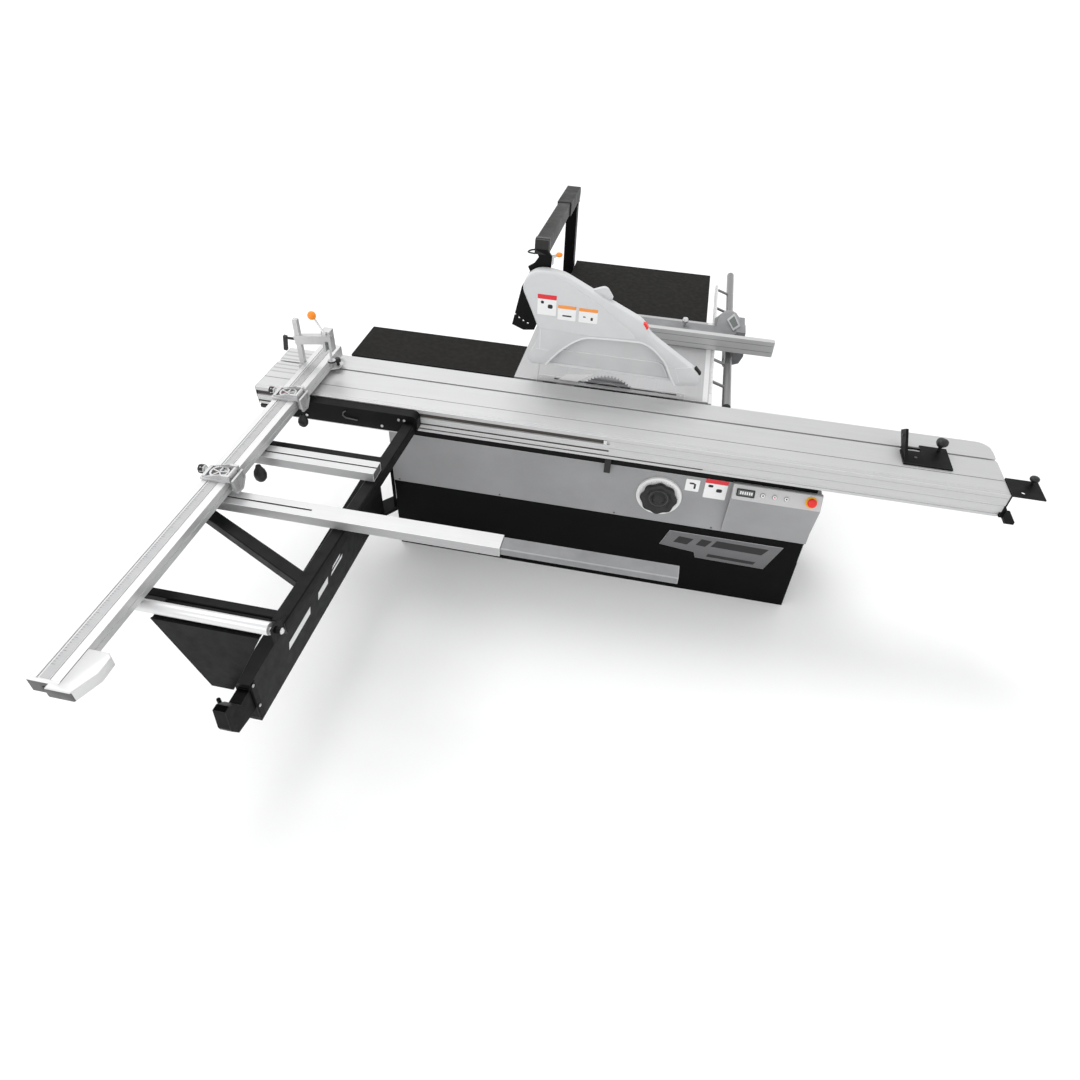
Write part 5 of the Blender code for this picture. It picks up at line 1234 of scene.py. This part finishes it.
def dress_stops():
    for number in (1, 2):
        node, flap = f"stop_{number}_carriage", f"stop_{number}_flap"
        refined(node, "alloy_cast", 0.0018, 2, worn_lit_edge_paint="alloy_bright")
        refined(flap, "alloy_cast", 0.0014, 2, worn_lit_edge_paint="alloy_bright")
        lo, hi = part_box(node)
        y = (lo.y + hi.y) / 2
        body = BODY_OF[node]
        glass = slab((-1.3360, y, 0.9578), X, Y, rounded(0.026, 0.036, 0.003), 0.0012)
        show(f"stop_{number}_window", glass, "glass", body, bevel=0.0004, segments=1)
        hair = slab((-1.3360, y, 0.9591), X, Y, rounded(0.024, 0.0010, 0.0004, 1), 0.0002)
        show(f"stop_{number}_hairline", hair, "label_red", body)
        spokes = ring_casting(Vector((-1.3200, y, 0.9615)), X, Y, 0.0370, 0.0290, 0.0085,
            (90, 162, 234, 306, 18))
        show(f"stop_{number}_spokes", spokes, "alloy_cast", body, bevel=0.0010)
        ribs = []
        for side in (-0.033, 0.033):
            ribs.append(prism("y", [(-1.3760, 0.9572), (-1.2960, 0.9572), (-1.2780, 0.9780), (-1.2960, 0.9800),
                (-1.3500, 0.9640)], y + side - 0.0026, y + side + 0.0026))
        ribs.append(slab((-1.3680, y, 0.9572), X, Y, rounded(0.012, 0.066, 0.002), 0.0065))
        show(f"stop_{number}_ribs", together(*ribs), "alloy_cast", body, bevel=0.0010)
        start = Vector((-1.3915, y + 0.020, 0.948))
        grip = turned(start, start - X, [(0.0100, 0.0), (0.0165, 0.0030), (0.0180, 0.0085), (0.0180, 0.0180),
            (0.0160, 0.0230), (0.0110, 0.0262), (0.0020, 0.0272)], 48, 6, 0.05)
        show(f"stop_{number}_knob", grip, "black_plastic", body)
        arm = BODY_OF[flap]
        half = [(-0.040, 0.030), (0.040, 0.030), (0.044, -0.006), (0.014, -0.040), (-0.030, -0.034)]
        inner = [(-0.033, 0.023), (0.033, 0.023), (0.036, -0.003), (0.011, -0.032), (-0.024, -0.027)]
        place = Vector((-1.2570, y, 0.9300))
        frame_bars = []
        for k in range(5):
            m = (k + 1) % 5
            frame_bars.append(slab(place, Y, Z, [half[k], half[m], inner[m], inner[k]], 0.0090))
        frame_bars.append(slab(place, Y, Z, inner, 0.0030))
        frame_bars.append(slab(place, Y, Z, [(-0.0025, 0.026), (0.0025, 0.026), (0.0025, -0.031),
            (-0.0025, -0.031)], 0.0075))
        show(f"stop_{number}_paddle", together(*frame_bars), "alloy_cast", arm, bevel=0.0010)
        pin = rod((-1.2700, y - 0.0400, 0.969), (-1.2700, y + 0.0400, 0.969), 0.0034, 16)
        show(f"stop_{number}_pin", pin, "steel", body)


# ---------------------------------------------------------------- rip fence
def dress_rip_fence():
    head, rule = BODY_OF["rip_head"], BODY_OF["rip_fence_plate"]
    refined("rip_head", "casting_grey", 0.0030, 3, worn_lit_edge_paint="casting_pale")
    refined("rip_fence_plate", "alloy_x", 0.0012, 2, worn_lit_edge_paint="alloy_bright")
    lo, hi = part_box("rip_fence_plate")
    # Two thin dark strips along the plate's face stand in for its grooves: painted shade.
    groove_shade_strips = []
    for z in (0.905, 0.938):
        groove_shade_strips.append(block((lo.x + 0.002, lo.y - 0.0003, z), (hi.x - 0.002, lo.y - 0.0001, z + 0.0016)))
    show("rip_plate_groove_shade", together(*groove_shade_strips), "dark_plastic", rule)
    end = block((hi.x + 0.0001, lo.y + 0.003, lo.z + 0.003), (hi.x + 0.0020, lo.y + 0.027, hi.z - 0.003))
    show("rip_plate_end", end, "dark_plastic", rule, bevel=0.0008)

    window = [Vector(p) for p in ((0.4982, 0.6559, 0.9486), (0.5326, 0.6969, 0.9680), (0.5690, 0.6248, 0.9361),
        (0.5362, 0.5928, 0.9208))]
    u = (window[1] - window[0]).normalized()
    rise = u.cross(window[3] - window[0]).normalized()
    if rise.z < 0:
        rise = -rise
    v = rise.cross(u)
    flat = [((p - window[0]).dot(u), (p - window[0]).dot(v)) for p in window]
    inner = [(flat[0][0] * 0.84 + flat[2][0] * 0.16, flat[0][1] * 0.84 + flat[2][1] * 0.16),
        (flat[1][0] * 0.84 + flat[3][0] * 0.16, flat[1][1] * 0.84 + flat[3][1] * 0.16),
             (flat[2][0] * 0.84 + flat[0][0] * 0.16, flat[2][1] * 0.84 + flat[0][1] * 0.16),
             (flat[3][0] * 0.84 + flat[1][0] * 0.16, flat[3][1] * 0.84 + flat[1][1] * 0.16)]
    show("head_window_frame", slab(window[0] + rise * 0.0003, u, v, flat, 0.0024), "casting_pale", head,
        bevel=0.0008)
    show("head_window", slab(window[0] + rise * 0.0028, u, v, inner, 0.0006), "glass", head,
        bevel=0.0002, segments=1)

    for node, paint, slot in (("rip_lock_knob", "steel", "steel"),
            ("rip_clamp_knob", "black_plastic", "black_plastic")):
        refined(node, paint, 0.0010, 2)
    lo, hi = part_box("rip_fine_knob")
    foot = Vector(((lo.x + hi.x) / 2, (lo.y + hi.y) / 2, lo.z))
    tall, wide = hi.z - lo.z, (hi.x - lo.x) / 2
    ball = [(0.0040, 0.0), (0.0040, tall - 2 * wide), (0.0060, tall - 2 * wide + 0.0005)]
    for k in range(1, 13):
        turn = math.pi * (k / 12 * 0.93 + 0.07)
        ball.append((max(0.0003, wide * math.sin(turn)), tall - wide - wide * math.cos(turn)))
    show("rip_fine_ball", turned(foot, foot + Z, ball, 40), "white_plastic", BODY_OF["rip_fine_knob"],
        ["rip_fine_knob"])


# ---------------------------------------------------------------- swing arm
def dress_swing_arm():
    refined("swing_arm_bracket", "black_satin", 0.0020, 2, worn_lit_edge_paint="black_worn_lit_edge")
    refined("swing_arm_outer", "arm_face", 0.0060, 4, worn_lit_edge_paint="black_worn_lit_edge")
    refined("swing_arm_inner", "black_gloss", 0.0045, 3, worn_lit_edge_paint="black_worn_lit_edge")
    lo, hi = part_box("swing_arm_outer")
    arm = BODY_OF["swing_arm_outer"]
    end_low = 0.264  # the tube's lower edge at its far end
    bars = []
    for y, z, long, tall in ((-1.330, 0.372, 0.205, 0.030), (-1.105, 0.372, 0.110, 0.030),
            (-0.960, 0.372, 0.130, 0.012), (-0.960, 0.392, 0.090, 0.010)):
        bars.append(slab((hi.x + 0.0003, y, z), Y, Z,
            [(-long / 2, -tall / 2), (long / 2 - 0.012, -tall / 2), (long / 2, tall / 2),
            (0.012 - long / 2, tall / 2)], 0.0006))
    show("arm_bars", together(*bars), "label_white", arm)
    collar = []
    for x0, x1 in ((lo.x - 0.0022, lo.x - 0.0002), (hi.x + 0.0002, hi.x + 0.0022)):
        collar.append(block((x0, lo.y + 0.002, end_low + 0.006), (x1, lo.y + 0.030, hi.z - 0.006)))
    show("arm_end_band", together(*collar), "black_satin", arm, bevel=0.0010)
    bolts = []
    for z in (0.346, 0.462):
        bolts.append(bolt_head((hi.x + 0.0023, lo.y + 0.012, z), X, 0.0065, 0.004))
    show("arm_bolts", together(*bolts), "steel", arm)
    nut = [
        hex_head((-1.108, -1.780, 0.4245), Z, 0.012, 0.008),
        tube([Vector((-1.108, -1.780,
        0.448)) + (X * math.cos(a) + Y * math.sin(a)) * 0.0125 for a in angles(24)], 0.0030, 10, True),
    ]
    show("arm_stem_nut", together(*nut), "steel", BODY_OF["swing_arm_inner"])


aim_camera()
make_floor()
dress_cabinet()
dress_controls()
dress_handwheel()
dress_saw_table()
dress_saw_unit()
dress_sliding_table()
dress_outrigger()
dress_overhead()
dress_guard()
dress_fence()
dress_stops()
dress_rip_fence()
dress_swing_arm()
